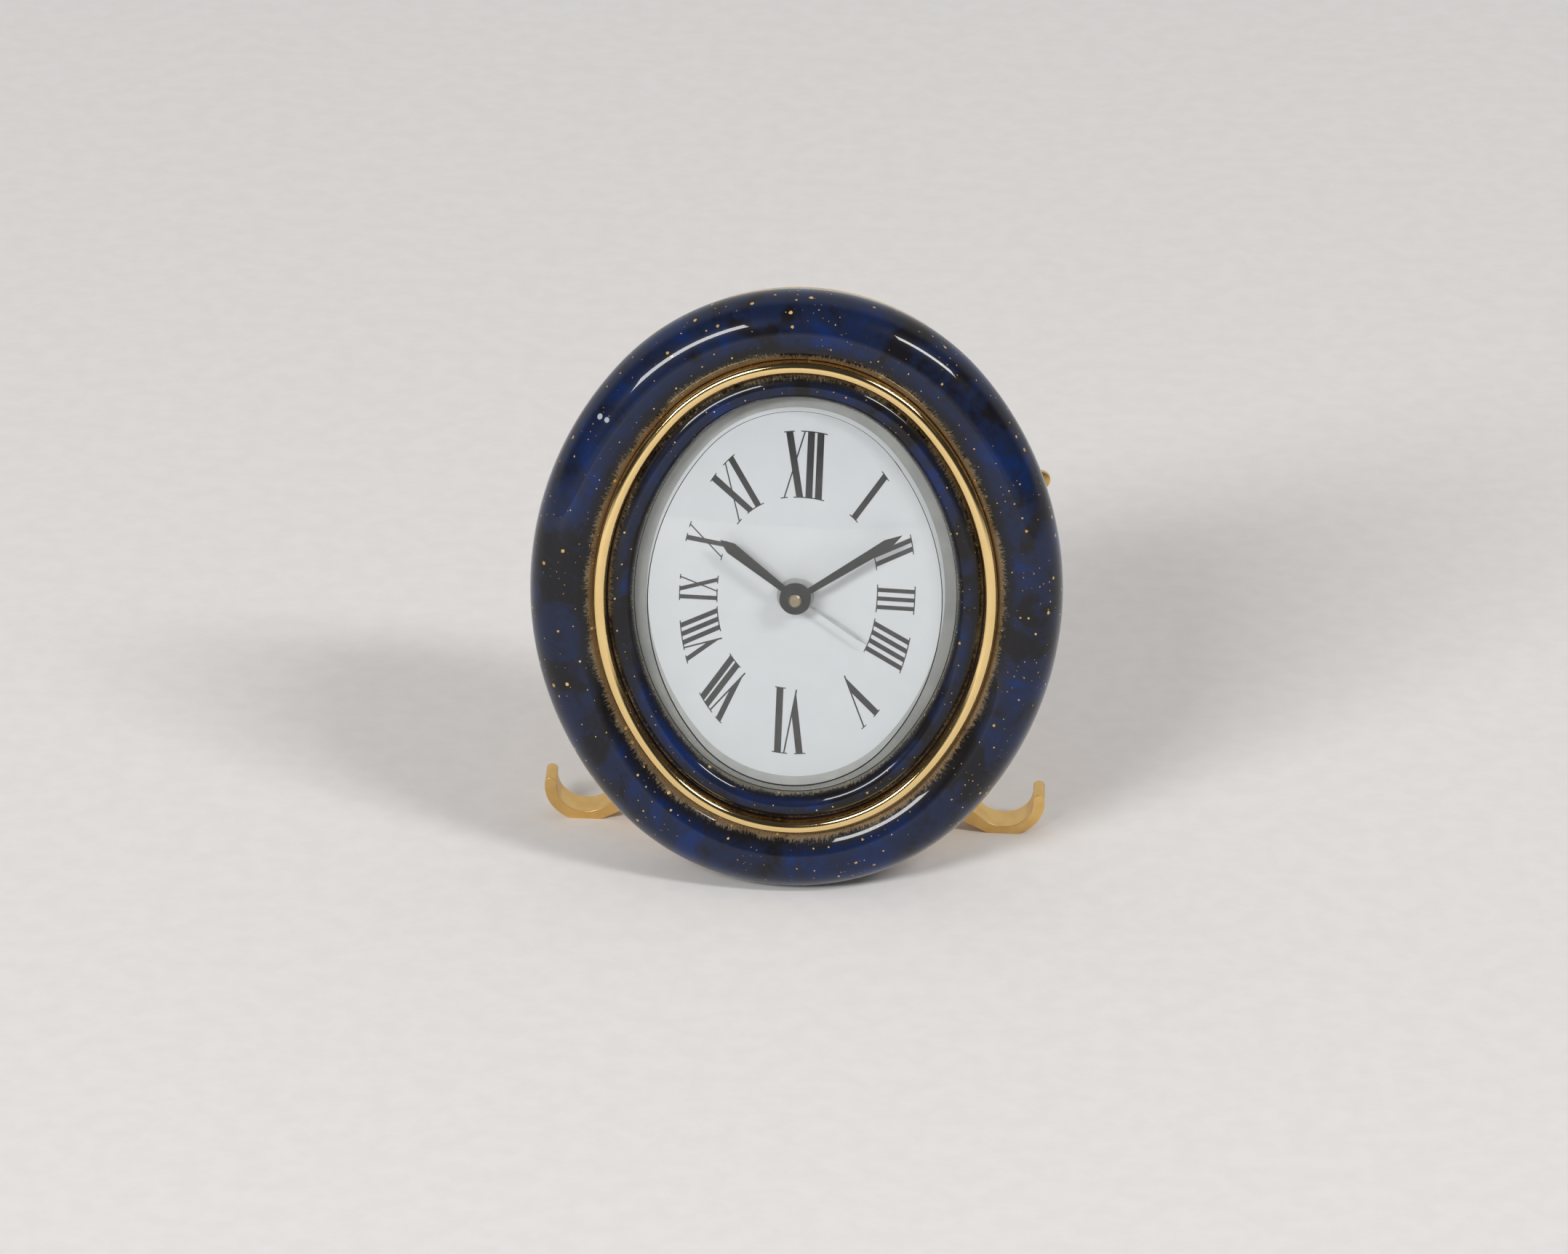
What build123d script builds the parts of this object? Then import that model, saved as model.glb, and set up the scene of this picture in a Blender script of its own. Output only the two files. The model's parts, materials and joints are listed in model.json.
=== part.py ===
from build123d import *
import math
import os

# An oval lacquered alarm clock for a desk, standing on its opened foot.
# It is built lying on its back with the dial up: X to the right, Y up the dial, Z out of the dial.
# The hands turn about X = Y = 0, and the case is widest at Z = 0.
# At the end the finished clock is leaned back onto its foot. Lengths are in millimetres.

# Case outline, four tangent arcs, from its half height
body_half_height = 45.0
half_width_share = 0.8556
end_radius_share = 0.7689
lean_angle = 9.0

# Clearances
overrun = 1.0
seat_gap = 0.05
running_gap = 0.05
sliding_gap = 0.1

# Outer bezel, measured inwards from the outline
band_radius = 5.4
crown_slope = 40.0
rear_slope = 14.0
rear_depth = 6.2
bezel_wall = 1.6
rim_width = 1.2
groove_inset = 9.3
shelf_thickness = 0.7

# Gilt ring in the groove between the two bezels
ring_width = 1.9
ring_rise = 1.1
ring_crown = 0.8
ring_flat_share = 0.42

# Inner bezel, with its section as shares of its width and of its crest's height
inner_crest_height = 2.1
inner_edge_inset = 15.2
inner_band_section = ((0.0, 0.6), (0.32, 1.0), (0.68, 1.0), (0.92, 0.68), (1.0, 0.3))

# Crystal
crystal_flange_thickness = 1.3
crystal_dome_radius = 200.0
crystal_dome_height = 4.1
crystal_thickness = 1.2
crystal_bevel_angle = 33.0

# Dial
dial_level = 1.4
dial_thickness = 0.4
dial_inset = 11.6
dial_hole_radius = 2.1

# Movement holder
holder_inset = 9.4
holder_ledge = 1.2
holder_lip_gap = 0.05

# Back cover
cover_thickness = 1.2
cover_inset = 1.4
sound_slot_length = 7.0
sound_slot_width = 0.8
sound_slot_step = 2.0
sound_slot_count = 5

# Cover screws
cover_screw_radius = 0.7
cover_screw_head_radius = 1.5
cover_screw_head_height = 0.6
cover_screw_length = 4.5
cover_screw_share = 0.5111
cover_screw_y = 2.0

# Foot, a gilt plate with two plain scrolls
foot_thickness = 4.0
foot_opening = 15.5
foot_fold_gap = 0.4
foot_stop_gap = 0.05
pivot_y = -7.0
heel_height = 3.2
shank_half_width = 7.0
shank_fillet = 9.0
scroll_offset_share = 0.6889
scroll_radius = 6.0
scroll_arm = 1.7
scroll_tip_angle = 7.0
scroll_inner_slope = 40.0
scroll_arch_slope = 30.0
sole_depth = 0.45
hinge_pin_radius = 0.8
hinge_ear_width = 2.5
hinge_side_gap = 0.1
hinge_running_gap = 0.03

# Motion work between dial and main plate
motion_module = 0.3
cannon_teeth = 10
motion_wheel_teeth = 30
motion_pinion_teeth = 8
hour_wheel_teeth = 32
setting_pinion_teeth = 10
alarm_wheel_teeth = 36
alarm_pinion_teeth = 12
motion_wheel_direction = 150.0
setting_direction = 110.0
alarm_direction = 50.0
motion_layer_thickness = 0.4
hour_layer_thickness = 0.35
alarm_layer_thickness = 0.4
dial_to_alarm_wheel = 0.25
layer_gap = 0.15
hour_to_motion_gap = 0.25
module_to_motion_gap = 0.1
minute_pin_radius = 0.95
tube_gap = 0.05
hour_tube_wall = 0.45
alarm_tube_wall = 0.4
stud_radius = 0.4
stud_depth = 1.2
arbor_radius = 0.6
arbor_depth = 2.5

# Tooth form, as shares of the module and of the angle from tooth to tooth
addendum_share = 0.9
dedendum_share = 1.25
tooth_tip_share = 0.12

# Closed quartz movement, as shares of the case's half height
module_width_share = 0.7111
module_height_share = 1.0222
module_centre_share = 0.1556
module_corner_share = 0.2222

# Battery, its contacts and its hatch
battery_radius = 5.8
battery_height = 4.2
battery_margin = 1.2
contact_thickness = 0.15
contact_width = 3.0
hatch_radius = 7.5
hatch_rim = 1.0
hatch_flange_thickness = 0.7
hatch_gap = 0.1
hatch_slot_width = 1.6
hatch_slot_depth = 0.5
hatch_slot_share = 0.8

# Sounder
sounder_place_share = 0.5667
sounder_radius_share = 0.1667
sounder_thickness = 0.25
sounder_clearance = 0.3

# Setting knobs at the back
stem_radius = 0.9
knob_gap = 0.3
knob_height = 2.2
time_knob_radius = 4.0
alarm_knob_radius = 3.4
knob_flute_depth = 0.4
knob_flutes = 12

# Alarm slide at the right-hand edge
slide_angle = 19.2
slide_width = 3.0
slide_travel = 3.0
slide_thickness = 1.0
slide_proud = 0.35
slide_length = 9.7

# Hands
hand_thickness = 0.2
alarm_hand_level = 1.1
hour_hand_level = 2.1
minute_hand_level = 2.9
minute_pin_rise = 0.85
hand_collet_radius = 2.25
alarm_disc_radius = 2.7
alarm_hand_thickness = 0.15
hour_hand_share = 0.3067
minute_hand_share = 0.4067
alarm_hand_share = 0.28
hour_hand_width = 1.75
minute_hand_width = 1.5
hand_neck_width = 0.8
alarm_hand_width = 0.4
hour_hand_angle = 142.7
minute_hand_angle = 34.0
alarm_hand_angle = -33.9
hand_shoulder_share = 0.86

# Sizes and places that follow the case's half height
body_half_width = body_half_height * half_width_share
end_radius = body_half_height * end_radius_share
cover_screw_x = body_half_height * cover_screw_share
scroll_offset = body_half_height * scroll_offset_share
module_width = body_half_height * module_width_share
module_height = body_half_height * module_height_share
module_centre_y = body_half_height * module_centre_share
module_corner = body_half_height * module_corner_share
battery_y = module_centre_y + module_height / 2 - battery_margin - battery_radius
sounder_y = -body_half_height * sounder_place_share
sounder_radius = body_half_height * sounder_radius_share
hour_hand_length = body_half_height * hour_hand_share
minute_hand_length = body_half_height * minute_hand_share
alarm_hand_length = body_half_height * alarm_hand_share

# Levels along Z that follow from the sizes above
dial_rear = dial_level - dial_thickness
crystal_seat = dial_level + crystal_flange_thickness
shelf_level = crystal_seat + shelf_thickness
cover_seat = -rear_depth
cover_rear = cover_seat - cover_thickness
alarm_layer = dial_rear - dial_to_alarm_wheel - alarm_layer_thickness
hour_layer = alarm_layer - layer_gap - hour_layer_thickness
motion_layer = hour_layer - hour_to_motion_gap - motion_layer_thickness
module_front = motion_layer - module_to_motion_gap
module_rear = cover_seat + seat_gap
battery_front = module_rear + battery_height
pivot_z = cover_rear - foot_fold_gap - foot_thickness / 2

# Outline arcs: the end arcs' centres lie on Y, the side arcs' centres on X
end_centre = body_half_height - end_radius
side_radius = (body_half_width**2 + end_centre**2 - end_radius**2) / (2 * (body_half_width - end_radius))
side_centre = side_radius - body_half_width
join_angle = math.degrees(math.atan2(end_centre, side_centre))

# Radii of the tubes round the minute pin
hour_tube_inner = minute_pin_radius + tube_gap
hour_tube_outer = hour_tube_inner + hour_tube_wall
alarm_tube_inner = hour_tube_outer + tube_gap
alarm_tube_outer = alarm_tube_inner + alarm_tube_wall


def polar(radius, angle):
    """A point in the dial's plane."""
    turn = math.radians(angle)
    return Vector(radius * math.cos(turn), radius * math.sin(turn))


def spacing(first_teeth, second_teeth, module):
    """Centre distance of two meshed gears."""
    return module * (first_teeth + second_teeth) / 2


# Axes of the motion work and the knobs
motion_axis = polar(spacing(cannon_teeth, motion_wheel_teeth, motion_module), motion_wheel_direction)
time_axis = motion_axis + polar(
    spacing(motion_wheel_teeth, setting_pinion_teeth, motion_module), setting_direction
)
alarm_axis = polar(spacing(alarm_wheel_teeth, alarm_pinion_teeth, motion_module), alarm_direction)


def oval_wire(inset):
    """The case outline drawn in by an inset, as four tangent arcs round the dial."""
    end, side = end_radius - inset, side_radius - inset
    return Wire(
        [
            CenterArc((-side_centre, 0), side, -join_angle, 2 * join_angle),
            CenterArc((0, end_centre), end, join_angle, 180 - 2 * join_angle),
            CenterArc((side_centre, 0), side, 180 - join_angle, 2 * join_angle),
            CenterArc((0, -end_centre), end, 180 + join_angle, 180 - 2 * join_angle),
        ]
    )


def oval_plate(inset, low, high, taper=0.0):
    """A slab with the oval outline from one level to another."""
    return extrude(Pos(0, 0, low) * make_face(oval_wire(inset)), high - low, taper=taper)


def section_point(inset, level):
    """A point of an oval ring's section, at the right-hand side of the case."""
    return Vector(body_half_width - inset, 0, level)


def oval_ring(edges):
    """A ring whose section is swept round the outline."""
    return sweep(make_face(edges), path=oval_wire(0))


def section_lines(*points):
    """Straight edges through section points."""
    return [Line(a, b) for a, b in zip(points, points[1:])]


def rod(radius, low, high, place=Vector()):
    """A round bar along Z."""
    return Pos(place.X, place.Y, low) * extrude(Circle(radius), high - low)


def block(low_corner, high_corner):
    """A box between two corners."""
    size = Vector(high_corner) - Vector(low_corner)
    middle = (Vector(high_corner) + Vector(low_corner)) / 2
    return Pos(middle) * Box(size.X, size.Y, size.Z)


def gear(teeth, module, low, high, place=Vector(), angle=0.0):
    """A toothed disc with straight flanks down to a sharp root, and one tooth pointing along an angle."""
    pitch = 2 * math.pi / teeth
    tip = module * (teeth / 2 + addendum_share)
    root = module * (teeth / 2 - dedendum_share)
    flank = ((root, -0.5), (tip, -tooth_tip_share), (tip, tooth_tip_share))
    outline = []
    for tooth in range(teeth):
        centre = math.radians(angle) + tooth * pitch
        for radius, share in flank:
            turn = centre + share * pitch
            outline.append((radius * math.cos(turn), radius * math.sin(turn)))
    face = make_face(Polyline(*outline, close=True))
    return Pos(place.X, place.Y, low) * extrude(face, high - low)


def mesh_angle(teeth, other_teeth, other_angle, direction):
    """The angle that puts a gap of this gear on a tooth of the other one, which lies against the direction."""
    offset = (other_angle - direction) * other_teeth / teeth
    return direction + 180 - 180 / teeth - offset


# Rest angles of the meshed gears, each set by the one before it
cannon_angle = motion_wheel_direction
motion_angle = mesh_angle(motion_wheel_teeth, cannon_teeth, cannon_angle, motion_wheel_direction)
hour_angle = mesh_angle(
    hour_wheel_teeth, motion_pinion_teeth, motion_angle, motion_wheel_direction + 180
)
setting_angle = mesh_angle(setting_pinion_teeth, motion_wheel_teeth, motion_angle, setting_direction)
alarm_pinion_angle = mesh_angle(alarm_pinion_teeth, alarm_wheel_teeth, alarm_direction, alarm_direction)


def rear_inset():
    """How far the case has drawn in where it meets the cover."""
    slope = math.radians(rear_slope)
    drop = rear_depth - band_radius * math.sin(slope)
    return band_radius * (1 - math.cos(slope)) + drop * math.tan(slope)


def make_outer_bezel():
    """Lacquered shell: a round band that runs out straight to the ring groove and to the cover."""
    slope = math.radians(crown_slope)
    crown_inset = band_radius * (1 + math.sin(slope))
    fall = (groove_inset - crown_inset) * math.tan(slope)
    groove_top = section_point(groove_inset, band_radius * math.cos(slope) - fall)
    rear = section_point(rear_inset(), cover_seat)
    shelf_inset = groove_inset + ring_width + seat_gap
    band = Plane.XZ * CenterArc(
        (body_half_width - band_radius, 0), band_radius, -rear_slope, 90 + crown_slope + rear_slope
    )
    return (
        oval_ring(
            [
                band,
                *section_lines(
                    band @ 1,
                    groove_top,
                    section_point(groove_inset, shelf_level),
                    section_point(shelf_inset, shelf_level),
                    section_point(shelf_inset, crystal_seat),
                    section_point(groove_inset, crystal_seat),
                    section_point(bezel_wall, 0),
                    section_point(rear_inset() + rim_width, cover_seat),
                    rear,
                    band @ 0,
                ),
            ]
        )
        - slide_slot()
    )


def make_gilt_ring():
    """Polished bead that fills the groove, with a flat crest between two slopes."""
    outside, inside = groove_inset + seat_gap, groove_inset + ring_width
    middle, crest = (outside + inside) / 2, ring_width * ring_flat_share / 2
    shoulder = shelf_level + ring_rise
    return oval_ring(
        section_lines(
            section_point(outside, shelf_level),
            section_point(outside, shoulder),
            section_point(middle - crest, shoulder + ring_crown),
            section_point(middle + crest, shoulder + ring_crown),
            section_point(inside, shoulder),
            section_point(inside, shelf_level),
            section_point(outside, shelf_level),
        )
    )


def make_inner_bezel():
    """Lacquered band that rises from the gilt ring to a rounded crest and falls to the crystal."""
    start = groove_inset + ring_width + 2 * seat_gap
    width = inner_edge_inset - start
    crown = [
        section_point(start + across * width, crystal_seat + up * inner_crest_height)
        for across, up in inner_band_section
    ]
    low_start = section_point(start, crystal_seat)
    return oval_ring(
        section_lines(low_start, *crown, section_point(inner_edge_inset, crystal_seat), low_start)
    )


def dome(radius, apex):
    """A ball whose highest point is at the apex level, with its poles off to the sides."""
    return Pos(0, 0, apex - radius) * Rot(90, 0, 0) * Sphere(radius)


def make_crystal():
    """Bevelled and slightly domed glass with a flange that sits under the inner bezel."""
    bevel_inset = inner_edge_inset + sliding_gap
    apex = crystal_seat + crystal_dome_height
    flange = oval_plate(dial_inset, dial_level, crystal_seat)
    pane = oval_plate(bevel_inset, crystal_seat, apex, taper=crystal_bevel_angle)
    pane = pane & dome(crystal_dome_radius, apex)
    hollow_inset = bevel_inset + crystal_thickness
    hollow = oval_plate(hollow_inset, dial_level, apex, taper=crystal_bevel_angle)
    hollow = hollow & dome(crystal_dome_radius - crystal_thickness, apex - crystal_thickness)
    return flange + pane - hollow


def make_dial():
    """Dial plate with its centre hole."""
    plate = oval_plate(dial_inset, dial_rear, dial_level)
    return plate - rod(dial_hole_radius, dial_rear - overrun, dial_level + overrun)


def rounded_slab(low_y, high_y, margin, low, high):
    """A slab with the movement's width and rounded corners, grown by a margin."""
    size_y = high_y - low_y + 2 * margin
    face = RectangleRounded(module_width + 2 * margin, size_y, module_corner + margin)
    return Pos(0, (low_y + high_y) / 2, low) * extrude(face, high - low)


def slide_frame():
    """The frame of the alarm slide: X outwards along its slot, Y along its travel."""
    return Pos(-side_centre, 0) * Rot(0, 0, slide_angle)


def slide_slot():
    """The room in which the alarm slide travels, open towards the cover."""
    half = slide_width / 2 + sliding_gap
    inner = side_radius + slide_proud - slide_length - sliding_gap
    top = cover_seat + slide_thickness + 2 * sliding_gap
    return slide_frame() * block(
        (inner, -half - slide_travel, cover_seat - overrun),
        (side_radius + overrun, half, top),
    )


def make_alarm_slide():
    """Flat bar that switches the alarm on and off, with its tip just past the case's edge."""
    tip = side_radius + slide_proud
    low = cover_seat + sliding_gap
    bar = block(
        (tip - slide_length, -slide_width / 2, low),
        (tip, slide_width / 2, low + slide_thickness),
    )
    return slide_frame() * fillet(bar.edges().filter_by(Axis.Z).group_by(Axis.X)[-1], slide_thickness / 2)


def cover_screw_places():
    """Where the two cover screws stand."""
    return [Vector(side * cover_screw_x, cover_screw_y) for side in (-1, 1)]


def make_movement_holder():
    """Moulded frame: dial and crystal lie in its front recess, movement and sounder in its rear pocket."""
    pocket_low = sounder_y - sounder_radius - sounder_clearance
    pocket_high = module_centre_y + module_height / 2
    frame = oval_plate(holder_inset, cover_seat, crystal_seat - holder_lip_gap)
    frame -= oval_plate(dial_inset - sliding_gap, dial_rear, crystal_seat + overrun)
    frame -= rounded_slab(pocket_low, pocket_high, -holder_ledge, cover_seat, dial_rear + overrun)
    frame -= rounded_slab(
        pocket_low, pocket_high, sliding_gap, cover_seat - overrun, module_front
    )
    for place in cover_screw_places():
        tip = cover_rear + cover_screw_length + sliding_gap
        frame -= rod(cover_screw_radius, cover_seat - overrun, tip, place)
    return frame - slide_slot()


def make_cover_screws():
    """Two screws that pull the cover to the holder."""
    head = cover_rear - cover_screw_head_height
    return [
        rod(cover_screw_head_radius, head, cover_rear, place)
        + rod(cover_screw_radius, cover_rear, cover_rear + cover_screw_length, place)
        for place in cover_screw_places()
    ]


def hinge_ear(side):
    """One of the two ears that carry the foot's pin."""
    near = side * (shank_half_width + hinge_side_gap)
    far = near + side * hinge_ear_width
    low, high = min(near, far), max(near, far)
    half = foot_thickness / 2
    ear = block((low, pivot_y - half, pivot_z), (high, pivot_y + half, cover_rear))
    return ear + Pos((low + high) / 2, pivot_y, pivot_z) * Rot(0, 90, 0) * Cylinder(half, hinge_ear_width)


def hinge_bar(radius, half_length):
    """A round bar along the foot's hinge."""
    return Pos(0, pivot_y, pivot_z) * Rot(0, 90, 0) * Cylinder(radius, 2 * half_length)


def make_back_cover():
    """Gilt cover with hinge ears, hatch opening, stem holes, sound slots and screw holes."""
    cover = oval_plate(cover_inset, cover_rear, cover_seat)
    cover += hinge_ear(1)
    cover += hinge_ear(-1)
    cover -= hinge_bar(hinge_pin_radius, shank_half_width + hinge_ear_width + overrun)
    low, high = cover_rear - overrun, cover_seat + overrun
    cover -= rod(hatch_radius - hatch_rim, low, high, Vector(0, battery_y))
    for axis in (time_axis, alarm_axis):
        cover -= rod(stem_radius + running_gap, low, high, axis)
    for place in cover_screw_places():
        cover -= rod(cover_screw_radius, low, high, place)
    for slot in range(sound_slot_count):
        middle = sounder_y + (slot - (sound_slot_count - 1) / 2) * sound_slot_step
        cover -= block(
            (-sound_slot_length / 2, middle - sound_slot_width / 2, low),
            (sound_slot_length / 2, middle + sound_slot_width / 2, high),
        )
    return cover


def table_level():
    """Height of the table below the hands' axis, once the clock leans on the round of its band."""
    return -((body_half_height - band_radius) * math.cos(math.radians(lean_angle)) + band_radius)


def foot_reach():
    """Length of the foot from its pivot to the lowest line of its front face."""
    lean = math.radians(lean_angle)
    slope = math.radians(foot_opening - lean_angle)
    pivot_height = pivot_y * math.cos(lean) + pivot_z * math.sin(lean) - table_level()
    return (pivot_height - foot_thickness / 2 * math.sin(slope)) / math.cos(slope) + sole_depth


def foot_half_face(reach):
    """Right half of the foot's outline, with the pivot at the origin."""
    centre = Vector(scroll_offset, scroll_radius - reach)
    inner_radius = scroll_radius - scroll_arm
    inner_angle = 270 - scroll_inner_slope
    arch_angle = 270 - scroll_arch_slope
    inner_start = centre + polar(inner_radius, inner_angle)
    arch_end = centre + polar(scroll_radius, arch_angle)
    run = inner_start.X - shank_half_width
    corner = Vector(
        shank_half_width, inner_start.Y + run * math.tan(math.radians(scroll_inner_slope))
    )
    arch_radius = arch_end.X / math.sin(math.radians(scroll_arch_slope))
    arch_centre = Vector(0, arch_end.Y - arch_radius * math.cos(math.radians(scroll_arch_slope)))
    arch_top = arch_centre + Vector(0, arch_radius)
    tip_middle = centre + polar(scroll_radius - scroll_arm / 2, scroll_tip_angle)
    tip_end = tip_middle + polar(scroll_arm / 2, scroll_tip_angle + 90)
    heel = Vector(shank_half_width, heel_height)
    inner_sweep = 360 + scroll_tip_angle - inner_angle
    return make_face(
        [
            Line(arch_top, Vector(0, heel_height)),
            Line(Vector(0, heel_height), heel),
            Line(heel, corner),
            Line(corner, inner_start),
            CenterArc(centre, inner_radius, inner_angle, inner_sweep),
            ThreePointArc(
                centre + polar(inner_radius, scroll_tip_angle),
                tip_end,
                centre + polar(scroll_radius, scroll_tip_angle),
            ),
            CenterArc(centre, scroll_radius, arch_angle, 360 + scroll_tip_angle - arch_angle),
            CenterArc(arch_centre, arch_radius, 90 - scroll_arch_slope, scroll_arch_slope),
        ]
    )


def foot_place():
    """Turns the foot from lying flat on its pivot to its opened position."""
    return Pos(0, pivot_y, pivot_z) * Rot(foot_opening, 0, 0)


def make_foot():
    """Gilt plate that swings out behind the clock, cut flat where it stands on the table."""
    reach = foot_reach()
    half = foot_half_face(reach)
    face = half + mirror(half, about=Plane.YZ)
    corners = [
        v
        for v in face.vertices()
        if math.isclose(abs(v.X), shank_half_width, abs_tol=seat_gap) and v.Y < 0
    ]
    face = fillet(corners, shank_fillet)
    plate = Pos(0, 0, -foot_thickness / 2) * extrude(face, foot_thickness)
    foot = foot_place() * plate
    foot -= hinge_bar(hinge_pin_radius + hinge_running_gap, shank_half_width + overrun)
    wide = body_half_width + scroll_radius
    foot -= block(
        (-wide, pivot_y - heel_height, cover_rear - foot_stop_gap),
        (wide, pivot_y + 2 * heel_height, cover_seat),
    )
    table = Rot(lean_angle, 0, 0) * block(
        (-wide, table_level() - body_half_height, -body_half_height),
        (wide, table_level(), body_half_height),
    )
    return foot - table


def make_hinge_pin():
    """Pin through both ears and the foot."""
    return hinge_bar(hinge_pin_radius, shank_half_width + hinge_side_gap + hinge_ear_width)


def make_battery_hatch():
    """Coin-slotted disc that turns in the cover's round opening."""
    place = Vector(0, battery_y)
    rear = cover_rear - hatch_flange_thickness
    disc = rod(hatch_radius, rear, cover_rear, place)
    disc += rod(hatch_radius - hatch_rim - hatch_gap, cover_rear, cover_seat, place)
    half = hatch_radius * hatch_slot_share
    return disc - block(
        (-half, battery_y - hatch_slot_width / 2, rear - overrun),
        (half, battery_y + hatch_slot_width / 2, rear + hatch_slot_depth),
    )


def make_battery():
    """Button cell in the movement's pocket, behind its hatch."""
    return rod(battery_radius, module_rear, battery_front, Vector(0, battery_y))


def contact_boxes(gap):
    """Corners of the strip under the cell and of the blade against its side, grown by a gap."""
    floor = battery_front + contact_thickness
    side = battery_radius + seat_gap
    half = contact_width / 2
    return [
        ((-half, battery_y - contact_width, battery_front), (half, battery_y + contact_width, floor)),
        (
            (side, battery_y - half - gap, module_rear + contact_width / 2 - gap),
            (side + contact_thickness + gap, battery_y + half + gap, battery_front),
        ),
    ]


def make_battery_contacts():
    """Strip under the cell and blade against its side."""
    return [block(low, high) for low, high in contact_boxes(0)]


def make_movement_case():
    """Closed housing of the quartz movement, with the battery's pocket and the stems' holes."""
    half = module_height / 2
    case = rounded_slab(module_centre_y - half, module_centre_y + half, 0, module_rear, module_front)
    low, high = module_rear - overrun, module_front + overrun
    for axis in (time_axis, alarm_axis):
        case -= rod(stem_radius + running_gap, low, high, axis)
    case -= rod(arbor_radius + running_gap, module_front - arbor_depth - sliding_gap, high)
    case -= rod(stud_radius + running_gap, module_front - stud_depth - sliding_gap, high, motion_axis)
    pocket = battery_radius + sliding_gap
    case -= rod(pocket, low, battery_front + contact_thickness, Vector(0, battery_y))
    notch_low, notch_high = contact_boxes(seat_gap)[1]
    return case - block(notch_low, notch_high)


def hand_face(length, width, neck):
    """A hand's blade along X, widest near its tip and pointed at the end."""
    shoulder = length * hand_shoulder_share
    return make_face(
        Polyline(
            (0, -neck / 2),
            (shoulder, -width / 2),
            (length, 0),
            (shoulder, width / 2),
            (0, neck / 2),
            close=True,
        )
    )


def make_hand(length, width, neck, angle, level, thickness, disc_radius, bore_radius):
    """A blade with a round collet at the hub."""
    blade = extrude(hand_face(length, width, neck), thickness)
    hand = Pos(0, 0, level) * Rot(0, 0, angle) * blade
    hand += rod(disc_radius, level, level + thickness)
    return hand - rod(bore_radius, level - overrun, level + thickness + overrun)


def make_minute_arbor():
    """Brass pin that carries the minute hand, with the cannon pinion under the dial."""
    top = dial_level + minute_hand_level + hand_thickness + minute_pin_rise
    pin = rod(minute_pin_radius, motion_layer, top)
    pin = chamfer(pin.faces().sort_by(Axis.Z)[-1].edges(), minute_pin_radius / 4)
    pinion = gear(
        cannon_teeth, motion_module, motion_layer, motion_layer + motion_layer_thickness, Vector(), cannon_angle
    )
    arbor = rod(arbor_radius, module_front - arbor_depth, motion_layer)
    return pin + pinion + arbor


def make_motion_wheel():
    """Wheel and pinion that take the drive from the cannon pinion to the hour wheel."""
    top = motion_layer + motion_layer_thickness
    wheel = gear(
        motion_wheel_teeth, motion_module, motion_layer, top, motion_axis, motion_angle
    )
    pinion = gear(
        motion_pinion_teeth,
        motion_module,
        top,
        hour_layer + hour_layer_thickness,
        motion_axis,
        motion_angle,
    )
    return wheel + pinion + rod(stud_radius, module_front - stud_depth, motion_layer, motion_axis)


def make_hour_wheel():
    """Wheel whose tube carries the hour hand."""
    wheel = gear(
        hour_wheel_teeth, motion_module, hour_layer, hour_layer + hour_layer_thickness, Vector(), hour_angle
    )
    top = dial_level + hour_hand_level + hand_thickness
    wheel += rod(hour_tube_outer, hour_layer, top)
    return wheel - rod(hour_tube_inner, hour_layer - overrun, top + overrun)


def make_alarm_wheel():
    """Wheel whose tube carries the alarm hand."""
    wheel = gear(
        alarm_wheel_teeth,
        motion_module,
        alarm_layer,
        alarm_layer + alarm_layer_thickness,
        Vector(),
        alarm_direction,
    )
    top = dial_level + alarm_hand_level + alarm_hand_thickness
    wheel += rod(alarm_tube_outer, alarm_layer, top)
    return wheel - rod(alarm_tube_inner, alarm_layer - overrun, top + overrun)


def knob_face(radius):
    """A knob's fluted outline."""
    points = []
    for flute in range(knob_flutes):
        points.append(polar(radius, 360 * flute / knob_flutes))
        points.append(polar(radius - knob_flute_depth, 360 * (flute + 0.5) / knob_flutes))
    return make_face(Polyline(*points, close=True))


def make_knob(axis, radius, stem_top):
    """Fluted head behind the cover, and a stem through to the motion work."""
    head_front = cover_rear - knob_gap
    head = Pos(axis.X, axis.Y, head_front - knob_height) * extrude(knob_face(radius), knob_height)
    return head + rod(stem_radius, head_front, stem_top, axis)


def make_stem_pinion(teeth, low, high, axis, angle):
    """A pinion pressed on a knob's stem."""
    pinion = gear(teeth, motion_module, low, high, axis, angle)
    return pinion - rod(stem_radius, low - overrun, high + overrun, axis)


def make_sounder():
    """Thin disc fixed to the cover's inner face."""
    return rod(sounder_radius, cover_seat, cover_seat + sounder_thickness, Vector(0, sounder_y))


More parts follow.
